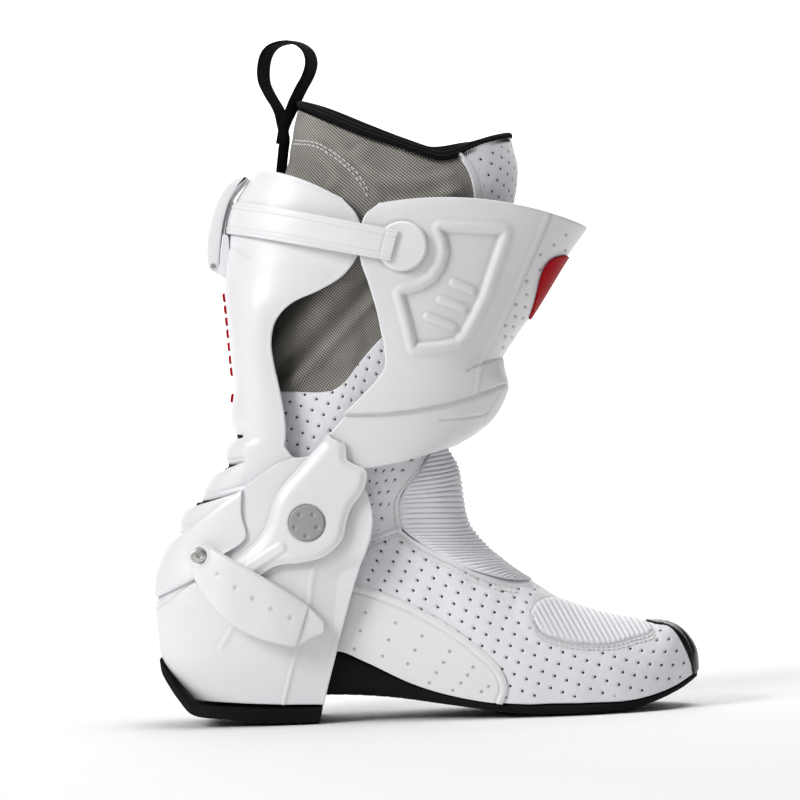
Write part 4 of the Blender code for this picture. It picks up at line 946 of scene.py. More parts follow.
def build_tongue():
    half = shaft_half(lambda x: 0 * x + 149.5, lambda x: BINDING_EDGE(x) + 1.5, 170, 90, shaft_front,
                      shaft_seam(-0.6))
    grid = raise_inner_rim(both_halves(half))
    x, z = side_view(grid)
    side_seam = x - PANEL_EDGE(z)
    relief = 0.75 + wrinkles(x, z, 21, 0.5) * ramp(side_seam, 3, 12) + 0.5 * ridge(side_seam - 0.6, 0.9)
    relief -= 0.3 * ridge(side_seam - 3.0, 0.5)
    holes_and_painted_shade = ramp(side_seam, 4.6, 5.2) * ramp(BINDING_EDGE(x) - z, 3, 4)
    mesh = skin_mesh(grid, CLOTH, (-15, 0, 240), relief, holes_and_painted_shade=holes_and_painted_shade)
    tongue = place("tongue_leather", mesh, FOOT_LEATHER, "cuff", ["shin_tongue"])


def build_collar():
    half = shaft_half(lambda x: BINDING_EDGE(x) + 0.2, lambda x: COLLAR_EDGE(x) - 1.8, 34, 380, shaft_back,
                      shaft_front)
    grid = raise_inner_rim(both_halves(half)[:, :-1])
    x, z = side_view(grid)
    # a rolled tape with a zigzag of thread along its lower edge
    height = np.clip((z - BINDING_EDGE(x) - 0.2) / 5.6, 0, 1)
    run = surface_map(grid)[:, :, 0]
    teeth = np.abs((run / 2.3) % 1.0 - 0.5) * 2
    thread = ridge(height - 0.16 - 0.14 * teeth, 0.05)
    relief = 0.5 + 0.9 * np.sin(math.pi * height.clip(0.02, 0.98)) ** 0.6
    relief -= 0.3 * (1 - ramp(height, 0.28, 0.36))
    relief += 0.45 * thread + 0.12 * np.cos(2 * math.pi * run / 1.5) * ramp(height, 0.3, 0.4)
    collar = skin_mesh(grid, 2.6, (-15, 0, 320), relief, closed=True)
    place("collar_tape", collar, TAPE, "cuff", ["collar_binding"])


def build_overlock():
    """Overlock stitches bite into the cloth under the tape."""
    count = 300
    column = np.linspace(0.005, 0.995, count)
    zigzag = []
    x = np.zeros(count)
    for _ in range(30):
        x = 0.5 * x + 0.5 * shaft_x(column, BINDING_EDGE(x) + 0.2)
    line_z = BINDING_EDGE(x) + 0.2 + np.where(np.arange(count) % 2 == 0, -1.9, 1.0)
    for sign in (-1, 1):
        line = np.stack([x, sign * (shaft_y(x, line_z) + 0.7), line_z], axis=1)
        zigzag.append(raise_inner_rim(line[None])[0])
    place("collar_overlock", tube_mesh(zigzag, 0.42, 5), TAPE, "cuff")


def build_lining():
    """The inner lining, seen through the top opening."""
    half = shaft_half(lambda x: 0 * x + 150.0, lambda x: COLLAR_EDGE(x) - 3.8, 90, 120, shaft_back,
                      shaft_front)
    grid = raise_inner_rim(both_halves(half)[:, :-1])
    middle = (SHAFT_REAR(grid[:, :, 2]) + SHAFT_FRONT(grid[:, :, 2])) / 2
    grid[:, :, 0] = middle + (grid[:, :, 0] - middle) * 0.94
    grid[:, :, 1] *= 0.915
    relief = -wrinkles(grid[:, :, 0] + 40, grid[:, :, 2] + grid[:, :, 1], 31, 0.5)
    lining = skin_mesh(grid, 0.8, (-15, 0, 240), relief, closed=True)
    place("shaft_lining", lining, LINING, "cuff")


def build_shaft_seams():
    """The piping between mesh and tongue, and the double stitch line."""
    heights = np.linspace(262, 307, 50)
    piping = on_surface(np.stack([PANEL_EDGE(heights) - 0.6, heights], axis=1), shaft_y, 0.5, False)
    place("tongue_piping", tube_mesh(piping, 0.85), STRETCH, "cuff")
    arcs = []
    for shift in (0.0, 2.2):
        arcs += on_surface(STITCH_ARC + shift * np.array([0.5, 0.8]), shaft_y, 0.45, False)
    place("shaft_stitches", tube_mesh(stitches(arcs, 2.4, 1.0), 0.42, 6), THREAD, "cuff")


def build_instep():
    ribs = [(14.6, 148.5, 4.8, 146), (19.6, 140.5, -0.2, 138), (21.6, 133, -7.6, 129),
            (23, 120, -12.4, 119.5), (24.2, 111, -12.4, 111), (27.2, 103.4, -10.6, 105),
            (36.2, 91.8, 3.6, 94), (43.2, 85.7, 25.6, 81.9), (50, 80, 42, 76.2), (55, 76.2, 51, 74.4),
            (59, 73.6, 57.2, 73.5)]
    ribs = [(*rib, bootie_y(rib[2], rib[3]) - 0.2) for rib in ribs]
    grid = rib_surface(ribs, 330, 60, 2.3)
    run = lengths(grid)
    middle = run[:, grid.shape[1] // 2 - 30][:, None]
    wander = 0.45 * np.sin(grid[:, :, 1] / 7.0 + middle / 6.0)
    wave = np.abs(np.sin(math.pi * (0.35 * run + 0.65 * middle + wander) / 2.9))
    relief = -0.2 + 1.35 * wave ** 0.65
    relief = relief * ramp(steps_to_edge(grid.shape[1])[None, :], 0, 5)
    panel = place("instep_stretch", skin_mesh(grid, 1.5, (-20, 0, 60), relief), STRETCH, None,
                  ["instep_flex_panel"])
    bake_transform(panel)


def build_instep_stitches():
    border = [(5.6, 146.5), (2.5, 139.6), (-3.3, 133.1), (-9.2, 126), (-12.2, 120.5), (-12.6, 109.4),
              (-11.6, 104.8)]
    ankle_edge = smooth_path(border, 60) - np.array([3.0, 0.0])
    lines = stitches(on_surface(ankle_edge, bootie_y, 0.75, False))
    thread = place("instep_stitches", tube_mesh(lines, 0.3, 6), THREAD, None)
    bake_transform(thread)


def build_foot_stitches():
    border = [(-11, 103.2), (-4.5, 98), (3.7, 92.3), (14.7, 86.9), (25.6, 80.2), (36.7, 75.6),
              (47.8, 72.6), (54.5, 71.6)]
    below = [smooth_path(np.array(border) - shift, 80) for shift in ([0.8, 2.0], [1.6, 4.2])]
    seam = smooth_path([(-62, 100.6), (-40, 94.8), (-35.5, 94.2), (-29.7, 97.6), (-21.2, 100.6),
                        (-13.4, 103)], 60)
    lines = []
    for line in (*below, seam):
        lines += stitches(on_surface(line, foot_y, 0.35))
    for grow in (1.6, 3.6):
        oval = TOE_OVAL + grow * np.sign(TOE_OVAL - TOE_OVAL.mean(axis=0)) * np.array([0.35, 0.9])
        keep = oval[:, 1] < FOOT_TOP(oval[:, 0]) - 1.5
        lines += stitches(on_surface(oval[keep][8:], foot_y, 0.35), 1.9, 1.1)
    lines = [path for path in lines if np.max(np.linalg.norm(np.diff(path, axis=0), axis=1)) < 1.2
             and np.all(path[:, 2] < FOOT_TOP(path[:, 0]) - 2.6)]
    place("foot_stitches", tube_mesh(lines, 0.3, 6), THREAD, "foot")


def build_gaiter():
    ribs = [(-101.5, 160.5, -86, 163, 28.6), (-104, 154, -86, 158, 29), (-105, 148, -86, 153, 29.4),
            (-108.6, 142, -86, 148, 30), (-113, 137, -86, 142, 30.6), (-116.2, 130.5, -86, 136, 31.4),
            (-119.6, 126, -86, 132, 32), (-127, 121.5, -86, 127, 32.5), (-130, 116, -86, 121, 33)]
    grid = rib_surface(ribs, 130, 60, 2.2)
    relief = 0.5 * np.cos(2 * math.pi * lengths(grid) / 4.2)
    gaiter = place("achilles_elastic", skin_mesh(grid, 1.0, (-60, 0, 140), relief), ELASTIC, None,
                   ["achilles_gaiter"])
    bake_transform(gaiter)


PULL_LOOP = [(-69.9, 303.1), (-67.8, 318.7), (-66.9, 326), (-69.8, 337.6), (-76.6, 349.9), (-79.7, 358.4),
             (-78.7, 369.6), (-74.5, 376.3), (-67.1, 378.9), (-59.8, 378), (-54.4, 373.6), (-52.8, 367),
             (-54.8, 360), (-59.2, 352.4), (-63.6, 343.7), (-66.6, 333), (-69, 322)]


def build_pull_loop():
    path = smooth_path(PULL_LOOP, 240)
    along = np.gradient(path, axis=0)
    along /= np.linalg.norm(along, axis=1, keepdims=True)
    out = np.stack([-along[:, 1], along[:, 0]], axis=1)
    spread = np.linspace(-7.6, 7.6, 26)
    thick = 0.85 + 0.16 * np.cos(2 * math.pi * lengths(path) / 1.7)
    rings = []
    for (x, z), (out_x, out_z), half in zip(path, out, thick):
        edge = half * (1 - (np.abs(spread) / 7.9) ** 6)
        upper = np.stack([x + out_x * edge, spread, z + out_z * edge], axis=1)
        lower = np.stack([x - out_x * edge, spread, z - out_z * edge], axis=1)[::-1]
        rings.append(np.concatenate([upper, lower]))
    sections = np.array(rings)
    # the tape is twisted a little where it leaves the collar
    turn = np.radians(-20 - 6 * ramp(sections[:, :, 2], 326, 346))
    middle = path[:, 0][:, None]
    x, y = sections[:, :, 0] - middle, sections[:, :, 1].copy()
    back = 2.4 * (1 - ramp(sections[:, :, 2], 330, 345))
    sections[:, :, 0] = middle + x * np.cos(turn) - y * np.sin(turn) - back
    sections[:, :, 1] = x * np.sin(turn) + y * np.cos(turn)
    place("pull_loop_tape", bar_mesh(list(sections)), TAPE, "cuff", ["pull_loop"])


# ---- the heel counter and its levers ----
HEEL_POWER = 3.2
SHELL_WALL = 2.4
CUP_RIBS = [(-140, 147, -57.5, 146.8, 46.6, 0, None, -69.5, 146.8),
            (-140, 142, -46, 142.6, 46.6, 0, None, -81, 142.6),
            (-140, 136, -37.2, 136.4, 46.6, 0, None, -89.8, 136.4),
            (-139.4, 102.4, -31, 127, 46.6, 0, None, -98.4, 129.8),
            (-141.4, 99, -28.6, 119, 46.6, 0, None, -98.4, 121),
            (-143.3, 95, -27.9, 111, 46.6, 0, None, -98.4, 112), (-146.4, 88, -30, 100, 46.6, 2),
            (-148.8, 78, -37, 82, 46.6, 1), (-149.1, 71.2, -40.5, 72, 46.2),
            (-150.8, 68.2, -42, 67, 45.8), (-150.2, 54, -46.5, 52, 44.4), (-148.2, 38, -50.3, 38, 42.1),
            (-139.5, 24.6, -54.5, 24, 39.1), (-130.6, 14.4, -58.5, 10.4, 36.6)]
CREASE = curve([(7.1, -81.6), (31.5, -74.8), (49.8, -69.1), (65.3, -64.1), (80.9, -61.8), (96, -56)])
CUP_FRONT = curve([(10.4, -58.5), (24, -54.5), (38, -50.3), (52, -46.5), (67, -42), (72, -40.5),
                   (82, -37), (100, -30)])
LEVER_TOP = [(-127.6, 96), (-124.6, 100), (-120.5, 101), (-112.8, 96.4), (-102.9, 90.6), (-86.5, 80.4),
             (-74, 72.2), (-64.6, 65.5), (-59.6, 60.4), (-56.6, 57)]
LEVER_LOW = [(-128.4, 91.5), (-127.6, 86), (-123.5, 77), (-117.9, 68.6), (-109, 59.6), (-97, 51.8),
             (-84, 46.8), (-71.4, 44.6), (-62.4, 48.2), (-57, 50.6)]
LEVER_DOTS = [(-112.7, 85), (-103.4, 77.4), (-94.1, 70.9), (-84.3, 64.9), (-74.4, 59.5)]


def partly(grid, first_row, split):
    """Cells of a grid whose first rows exist only beyond the split column of each half."""
    rows, columns = grid.shape[0] - 1, grid.shape[1] - 1
    middle = columns // 2
    cells = np.ones((rows, columns), bool)
    cells[:first_row, middle - split:middle + split] = False
    return cells


def build_counter():
    """The shell round the heel, whose first three ribs are only the two ankle discs."""
    rows, split = 190, 44
    half, knots = rib_grid(CUP_RIBS, rows, 130, HEEL_POWER, split)
    start = int(round(knots[3] * (rows - 1)))
    grid = both_halves(half)
    x, z = side_view(grid)
    bend = curve([(10, 1.2), (38, 2.2), (55, 3.2), (82, 4.2)])(z)
    forward = np.clip((x - CREASE(z)) / (CUP_FRONT(z) - CREASE(z)), 0, 1) * (1 - ramp(z, 80, 96))
    relief = -bend * forward
    seam = smooth_path([(-152, 63), (-146.9, 67.2), (-137.1, 74.1), (-126.8, 81.6)], 40)
    relief -= 0.5 * ridge(path_distance(seam, x, z), 0.55)
    relief += 0.6 * ridge(np.where(z < 90, x - CREASE(z), 99.0), 0.9)
    relief += 0.6 * ridge(path_distance([(-105.3, 57.5), (-113.6, 44.1)], x, z), 1.1)
    front = smooth_path([(-28.5, 119), (-27.9, 111), (-30, 100), (-37, 82), (-42, 67), (-50.3, 38),
                         (-58.5, 10.4)], 50)
    relief += 0.2 * (1 - ramp(path_distance(front, x, z), 1.4, 2.8))
    mesh = skin_mesh(grid, SHELL_WALL, (-90, 0, 70), relief, partly(grid, start, split))
    place("heel_counter", mesh, SHELL, "foot", ["heel_cup"])


def build_heel_band():
    ribs = [(-141.6, 102.4, -99, 130.4, 48.6, 0, -31), (-145.6, 95, -99.8, 117, 48.6, 0, -27.9),
            (-148.6, 88, -98, 104, 48.6, 0, -30), (-151, 78, -110, 95.4, 48.6, 0, -37),
            (-151.4, 71.5, -124, 83.6, 48.6, 0, -40.5)]
    grid = rib_surface(ribs, 80, 120, HEEL_POWER)
    x, z = side_view(grid)
    relief = 0.15 * np.sin(z / 6.0) - 0.8 * ridge(0.5 * steps_to_edge(80)[:, None], 1.4)
    relief += 0.9 * (1 - ramp(point_distance([SCREW], x, z), 5.4, 6.4))
    place("heel_band", skin_mesh(grid, 1.5, (-90, 0, 90), relief), SHELL, "foot",
          ["heel_yoke"])


def build_heel_levers():
    columns, rows = 60, 170
    stand_off = curve([(-128, 43.1), (-123, 45.4), (-112, 50.8), (-104, 52.6), (-85, 53.6), (-75, 52.6),
                       (-65, 50.8), (-55, 49.8)])
    x, z = ruled(smooth_path(LEVER_TOP, rows), smooth_path(LEVER_LOW, rows), columns).transpose(2, 0, 1)
    grid = np.stack([x, -stand_off(x), z], axis=2)
    t = np.linspace(0, 1, columns)[None, :]
    crown = 4 * t * (1 - t)
    dots = ridge(point_distance(LEVER_DOTS, x, z), 1.25)
    relief = 1.5 * crown ** 0.55 - 0.7 * dots
    screw = point_distance([SCREW], x, z)
    relief = np.where(screw < 4.4, 0.2, relief) + 0.7 * ridge(screw - 5.2, 0.8)
    tab = x + 67.4 - 0.345 * (z - 57.0)
    relief -= (0.45 + 0.6 * crown) * ramp(tab, -0.3, 0.5)
    # the dimples get painted shade through the hole marks, at half strength
    mesh = skin_mesh(grid, 1.8, (-90, 0, 70), relief, lip=0.9, holes_and_painted_shade=dots * 0.5)
    pair("heel_lever_cover", mesh, SHELL, "lever_SIDE", "heel_lever")
    radius = 3.8

    def head_face(r, dx, dz):
        return 1.6 - 0.5 * (r / radius) ** 3 - 0.9 * (1 - ramp(r, 1.3, 1.6))

    head = disc_mesh(SCREW, 48.6, radius, head_face, 1.5, 20, 60)
    pair("heel_screw_head", head, STEEL, "foot", "heel_screw")


# ---- the lames and the calf plate ----
PLATE_POWER = 2.6


def build_lames():
    lames = {"upper": [(-104.6, 157.2, -74, 165, 33.8), (-107.6, 153, -74, 159, 34),
                       (-108.4, 149, -74, 153.5, 34), (-106.8, 144.2, -74, 147.5, 33.8)],
             "middle": [(-114.8, 139.4, -74, 153.5, 35.6), (-118.2, 134.8, -74, 147, 35.6),
                        (-120.8, 130, -74, 140.5, 35.6), (-122, 124.6, -74, 134, 35.6)],
             "lower": [(-131.4, 120.4, -74, 135.4, 37.2), (-133.8, 116.4, -74, 129, 37.2),
                       (-135.4, 112, -74, 123, 37.2), (-136, 107.2, -74, 117, 37.2)]}
    rows = 60
    down = np.linspace(0, 1, rows)[:, None]
    relief = 0.25 - 0.45 * (1 - ramp(down, 0.0, 0.12)) + 0.35 * ridge(down - 0.93, 0.05)
    relief -= 0.25 * ridge(down - 0.82, 0.03)
    for name, ribs in lames.items():
        grid = rib_surface(ribs, rows, 90, PLATE_POWER)
        mesh = skin_mesh(grid, 1.2, (-60, 0, 130), relief, lip=0.9)
        place("achilles_plate_" + name, mesh, SHELL, "lame_" + name,
              ["achilles_lame_" + name])


CALF_RIBS = [(-86, 306.8, -38, 288, 50.5, 2.4), (-92, 299, -31.5, 280.4, 51.8, 1.5),
             (-97.6, 290.6, -28.6, 273, 52.2, 1), (-101, 279, -28.1, 266, 52.4),
             (-103.4, 266, -30.5, 257, 52.2), (-105.4, 254, -39, 246, 52), (-106, 243, -52, 238.4, 51),
             (-105.3, 233, -68, 231.6, 49.6), (-104.6, 222, -77, 222.5, 48.2), (-104, 211, -80, 211, 47),
             (-103.3, 199, -79, 199, 46.2), (-102.5, 187, -76.8, 187, 45.4),
             (-103.8, 177, -75, 176, 44.8, 0, None, -97.4, 177),
             (-105.2, 169.5, -74, 166.5, 44.2, 0, None, -97.8, 169),
             (-103.4, 161.6, -74.2, 158, 43, 0, None, -97.2, 160.8),
             (-110, 158, -74.6, 153, 42.4, 0, None, -97.2, 154.5),
             (-121, 146, -66, 142, 42, 0, None, -96.4, 144),
             (-132, 135, -57, 131, 42, 0, None, -94.6, 133),
             (-137, 124, -50.6, 119, 42.2, 0, None, -86, 121),
             (-136, 113, -49.4, 110, 42.4, 0, None, -78.6, 110),
             (-136, 103, -53, 101.6, 42.4, 0, None, -74.6, 101.6),
             (-136, 98, -59.6, 97.4, 42.4, 0, None, -68, 97.4)]
CALF_MARKS = (237.1, 230.4, 223.7, 216.9, 209.6, 202.3, 195.6, 181.0)
CALF_REAR = curve([(169.5, -105.2), (177, -103.8), (187, -102.5), (199, -103.3), (211, -104),
                   (222, -104.6), (233, -105.3), (243, -106), (254, -105.4)])


def build_calf():
    rows, columns, split = 260, 88, 34
    row_step, column_step = 0.9, 0.62
    half, knots = rib_grid(CALF_RIBS, rows, columns, PLATE_POWER, split)
    # below this rib the plate is two legs
    last = int(round(knots[14] * (rows - 1)))
    grid = both_halves(half)
    cells = partly(grid[::-1], rows - 1 - last, split)[::-1]
    x, z = side_view(grid)
    crease = smooth_path([(-106, 266.4), (-102.7, 265.1), (-96.6, 262.1), (-91.2, 257.9), (-86.8, 254.4),
                          (-80.6, 247), (-76, 239)], 50)
    relief = -0.4 * ridge(path_distance(crease, x, z), 1.2) * (1 - ramp(x, -100, -84))
    from_side = column_step * steps_to_edge(2 * columns - 1)[None, :]
    relief += 0.2 * (1 - ramp(from_side, 1.2, 2.6))
    from_top = row_step * np.arange(rows)[:, None]
    relief += 0.15 * (1 - ramp(from_top, 1.6, 3.2))
    # the shallow channel that holds the red marks
    channel = ramp(z, 166, 172) * (1 - ramp(z, 240, 246)) * (1 - ramp(np.abs(grid[:, :, 1]), 8.0, 9.5))
    relief -= 0.4 * channel
    mesh = skin_mesh(grid, 2.2, (-40, 0, 220), relief, cells)
    place("calf_cover", mesh, SHELL, "calf", ["calf_plate"])


def build_calf_marks():
    """Short red bars up the back of the calf, in one piece."""
    half_high, half_wide = 1.9, 5.4
    high = np.linspace(-half_high, half_high, 14)[:, None]
    y = np.linspace(-half_wide, half_wide, 26)[None, :]
    points, faces = [], []
    for middle in CALF_MARKS:
        z = middle + high + 0.3 * (1 - np.abs(y) / half_wide)
        x = CALF_REAR(z) - 1.5 + 1.1 * (y / 26) ** 2
        patch = np.stack([x, y * (1 - 0.25 * (high / half_high) ** 4), z], axis=2)
        mesh = skin_mesh(patch, 2.2, (0, 0, 200), lip=0.5)
        start = len(points)
        points += [tuple(v.co / MM) for v in mesh.vertices]
        faces += [tuple(start + corner for corner in p.vertices) for p in mesh.polygons]
        bpy.data.meshes.remove(mesh)
    points = np.array(points)
    place("calf_red_marks", make_mesh(points, faces, points[:, [1, 2]]), RED, "calf",
          ["calf_red_ladder"])


# ---- the strap and its buckle ----
def build_strap():
    rows = 44
    ribs = [(-99.9, 290.0, -8.0, 268.4, 61.2), (-102.6, 281.5, -10.5, 260.6, 61.2),
            (-104.6, 273.0, -13.0, 252.8, 61.2)]
    grid = rib_surface(ribs, rows, 230, PLATE_POWER)
    down = np.linspace(0, 17.6, rows)[:, None]
    relief = 0.5 * ridge(down - 2.6, 0.7) + 0.5 * ridge(down - 15.0, 0.7)
    relief = relief + 0.25 * ramp(down, 3.6, 4.6) * (1 - ramp(down, 13, 14))
    run = np.abs(surface_map(grid)[:, :, 0])
    ends = run.max() - run
    notch = 0.5 + 0.5 * np.cos(2 * math.pi * run / 2.2)
    inside = ridge(down - 1.2, 0.4) + ridge(down - 16.4, 0.4)
    relief = relief - 0.4 * inside * ramp(notch, 0.5, 0.8) * (1 - ramp(ends, 5, 6))
    relief -= 0.35 * ridge(ends - 6.4, 0.35)
    place("strap_band", skin_mesh(grid, 1.4, (-40, 0, 270), relief), SHELL, "calf",
          ["closure_strap"])


def profile_bar(outline, y_low, y_high, soft):
    """A bar whose outline is drawn in the side view, with soft ends."""
    area = np.sum(outline[:, 0] * np.roll(outline[:, 1], -1) - np.roll(outline[:, 0], -1) * outline[:, 1])
    along = np.roll(outline, -1, axis=0) - np.roll(outline, 1, axis=0)
    along /= np.linalg.norm(along, axis=1, keepdims=True) + 1e-9
    inward = np.stack([-along[:, 1], along[:, 0]], axis=1) * np.sign(area)
    bend = np.linspace(0, math.pi / 2, 6)
    reach, inset = soft * (1 - np.cos(bend)), soft * (1 - np.sin(bend))
    flat_part = np.linspace(y_low + soft, y_high - soft, 13)[1:-1]
    ys = np.concatenate([y_low + reach, flat_part, y_high - reach[::-1]])
    insets = np.concatenate([inset, 0 * flat_part, inset[::-1]])
    sections = []
    for y, inset in zip(ys, insets):
        x, z = (outline + inward * inset).T
        sections.append(np.stack([x, 0 * x + y, z], axis=1))
    return bar_mesh(sections)


def build_buckle():
    # the lever's outline runs down its back, round the pin and up its hollow side
    eye = [(BUCKLE[0] + 2.9 * math.cos(math.radians(d)), BUCKLE[1] + 2.9 * math.sin(math.radians(d)))
           for d in (190, 235, 280, 325, 5)]
    outline = [(-90.4, 303.6), (-97.2, 302.4), (-103.0, 297.8), (-108.0, 289.5), (-111.6, 279.5),
               (-113.6, 269.5), (-114.4, 261.0), *eye, (-107.0, 262.5), (-105.8, 272.5), (-103.9, 281.5),
               (-100.9, 290.0), (-97.4, 295.6), (-92.2, 301.2), (-90.4, 303.6)]
    lever = profile_bar(smooth_path(outline, 151)[:-1], -19.6, 19.6, 1.1)
    place("buckle_handle", lever, SHELL, "strap_lever", ["buckle_lever"])
    ear = round_outline([(-106.8, 249.6), (-106.8, 259.6), (-109, 258.6), (-111, 257.6), (-113.2, 256.4),
                         (-113.8, 254.6), (-113.2, 252.8), (-111, 251.6), (-108.4, 250.4)])
    for side, sign in (("lateral", -1), ("medial", 1)):
        near, far = sorted((sign * 17.0, sign * 19.0))
        place("buckle_ear_" + side, profile_bar(ear, near, far, 0.5), SHELL, "calf",
              ["buckle_bracket"] if side == "lateral" else [])
    base = round_outline([(-107.8, 248.6), (-103, 248.6), (-101.6, 262), (-101.8, 271.4), (-105.2, 272.2),
                          (-106.9, 262)])
    place("buckle_base", profile_bar(base, -19.4, 19.4, 0.6), SHELL, "calf")


def build_buttons():
    def face(r, dx, dz):
        return 1.1 - 0.9 * ramp(r, 12.4, 13.6) + 0.2 * np.cos(r / 5)

    button = disc_mesh(BUTTON, 58.1, 13.7, face, 1.2, 60, 140)
    pair("strap_button", button, SHELL, "cuff", "strap_anchor")


# ---- the shin guard ----
SHIN_POWER = 2.3
SHIN_RIBS = [(98.6, 268, -17.5, 284.2, 56.4, 8), (96, 264.8, -25, 278, 57, 7),
             (90.6, 258, -28, 267, 57, 5.5), (82.1, 246, -28.4, 254.5, 56.6, 4),
             (73.2, 232.3, -24.6, 241.5, 55.8, 2.5), (64.3, 219.2, -20.6, 226.2, 54.6, 1),
             (55.5, 207.7, -18.4, 213.2, 53.2), (50, 199.5, -17, 203.7, 51.8, -1),
             (49.6, 193, -17.6, 194, 50.8, -2), (50.6, 188, -24.5, 185, 50, -3),
             (51.6, 184.8, -41, 169.6, 49.4, -5.5)]
RECESS = [(15.7, 268.6), (49.2, 266.2), (49.1, 264), (42.9, 247.4), (36.7, 230.8), (30.7, 219.8),
          (25.9, 211.6), (21.9, 207.8), (13.4, 206.5), (-0.6, 205.9), (-3, 218.3), (-6.9, 234.1),
          (-5.2, 235.2), (3.3, 237.1), (10.8, 241.3), (16.1, 248.4), (18.6, 256.7), (17.7, 263.5)]
STRIP_DOTS = [(85.6, 264.3), (78.7, 259), (85.3, 255.9), (70.6, 253.7), (70.3, 245.3), (62.8, 239.4),
              (62.5, 232.1), (56.2, 226.8), (61.7, 225.4), (55.9, 220.3), (60.4, 219.3), (50.1, 215.2),
              (54.6, 214.5), (49.9, 209.3), (53.8, 208.9), (48.6, 203.5)]
STRIP_LINE = [(76.4, 279), (74.7, 274.8), (66.8, 257.2), (57.1, 237.4), (46.8, 216.5), (40.3, 205.5),
              (35.4, 195), (32, 179.4)]


def build_shin():
    rows, row_step = 190, 0.62
    grid = rib_surface(SHIN_RIBS, rows, 150, SHIN_POWER)
    x, z = side_view(grid)
    panel = signed_distance(RECESS, x, z)
    relief = -1.8 * (1 - ramp(panel, -2.2, 0.4))
    relief += 0.9 * ramp(panel, -0.4, 1.8) * (1 - ramp(panel, 2.8, 6.4))
    for n in range(3):
        base_x, base_z = 12.0 + 7.5 * n, 219.0 + 9.0 * n
        rib = path_distance([(base_x - 5, base_z + 2.5), (base_x + 9, base_z - 3.5)], x, z)
        relief += 1.0 * (1 - ramp(rib, 1.0, 3.0)) * ramp(-panel, 4, 5)
    # the strip ahead of its line lies lower and is dimpled
    line = path_distance(smooth_path(STRIP_LINE, 60), x, z)
    ahead = ramp(x - curve([(pz, px) for px, pz in STRIP_LINE[::-1]])(z), -1.5, 1.5)
    relief += 0.7 * ridge(line, 1.3) - 0.5 * ridge(line - 2.4, 1.2) * ahead - 0.4 * ahead
    dots = 1 - ramp(point_distance(STRIP_DOTS, x, z), 0.5, 1.2)
    relief -= 0.6 * dots
    relief -= 0.5 * (1 - ramp(point_distance([BUTTON], x, z), 13.6, 16.0))
    crease = path_distance(smooth_path([(28, 191.5), (30.8, 193.2), (42.2, 197),
                                        (50.1, 198.4)], 30), x, z)
    relief -= 0.7 * ridge(crease, 1.0)
    relief -= 0.3 * ridge(row_step * steps_to_edge(rows)[:, None], 1.4)
    # painted shade along the lower edge, where the band meets it, and in the strip's dimples, given
    # through the hole marks
    painted_edge_shade = 0.8 * ridge(row_step * np.arange(rows)[::-1, None], 0.8)
    mesh = skin_mesh(grid, SHELL_WALL, (10, 0, 225), relief, holes_and_painted_shade=np.maximum(dots, painted_edge_shade))
    place("shin_guard", mesh, SHELL, "cuff",
          ["shin_plate", "shin_panel_lateral", "shin_panel_medial"])


def build_shin_band():
    rows, row_step = 100, 0.5
    ribs = [(47, 190, -37, 174, 45.6, -5), (51, 183, -41.6, 166.9, 47.6, -5.5),
            (50.2, 178, -46.6, 161.6, 47.6, -5), (45.8, 169, -50.4, 157, 47.6, -4),
            (40, 162, -47.4, 149, 47.4, -3), (30.2, 154.8, -39, 143, 47, -2),
            (20.5, 150, -31, 139.6, 46.4, -1)]
    grid = rib_surface(ribs, rows, 150, SHIN_POWER)
    x, z = side_view(grid)
    relief = 0 * x
    for crease in ([(44.9, 178.4), (41.3, 171.8), (38.3, 167.4), (28.7, 165.6), (11.9, 164.5)],
                   [(38.3, 167.4), (36.4, 161.4)]):
        relief -= 0.55 * ridge(path_distance(smooth_path(crease, 30), x, z), 0.8)
    from_low_edge = row_step * np.arange(rows)[::-1, None]
    relief += 0.35 * (1 - ramp(from_low_edge, 2.0, 2.8)) - 0.5 * ridge(from_low_edge, 0.9)
    mesh = skin_mesh(grid, SHELL_WALL, (10, 0, 170), relief)
    place("shin_band", mesh, SHELL, "cuff", ["shin_frame"])


def build_red_drop():
    """A plain red drop on the nose of the guard."""
    apex, wide, width = (curve([(rib[1], rib[n]) for rib in SHIN_RIBS[::-1]]) for n in (0, 2, 4))
    rise = np.linspace(0, 1, 70)[:, None]
    z = 219.0 + 33.5 * rise
    reach = 1.0 + 13.5 * rise ** 1.2 * np.sqrt(1 - 0.98 * rise ** 5)
    t = np.linspace(0, 1, 40)[None, :]
    nose = apex(z) + 1.0
    x = nose - reach * t ** 1.7
    away = np.clip((x - wide(z)) / (nose - wide(z)), 0, 1)
    y = (width(z) + 1.0) * (1 - away ** SHIN_POWER) ** (1 / SHIN_POWER)
    grid = both_halves(np.stack([x, y, z + 0.1 * reach * t], axis=2))
    place("shin_red_drop", skin_mesh(grid, 1.0, (10, 0, 225), 0.0, lip=0.8), RED, "cuff",
          ["shin_red_insert"])


# ---- the hinge arms ----
ARM_LINES = [(-50, 159.4, -48.4, 157.6), (-51.6, 157.8, -45.6, 155.8), (-53.6, 155.6, -41.9, 154.6),
             (-56.6, 152.2, -40.9, 150), (-59.2, 149.4, -40.8, 145.4), (-62.6, 145.8, -37.6, 142.8),
             (-67.5, 140.5, -30.8, 138.8), (-72.5, 135.3, -30.6, 132.6), (-77.4, 130.2, -34, 125.2),
             (-81.6, 123.1, -39.1, 118.7), (-85.3, 112, -42.2, 110.4), (-90.1, 103.8, -45, 101),
             (-97.1, 97.3, -55.2, 92.4), (-102, 94, -68, 89.6), (-106.5, 90.3, -82, 88.2),
             (-108.5, 87.5, -93, 82)]
CAP_DIMPLES = [(-67.3, 115.8), (-60, 115.6), (-70.3, 108.9), (-58, 108.5), (-64, 104)]


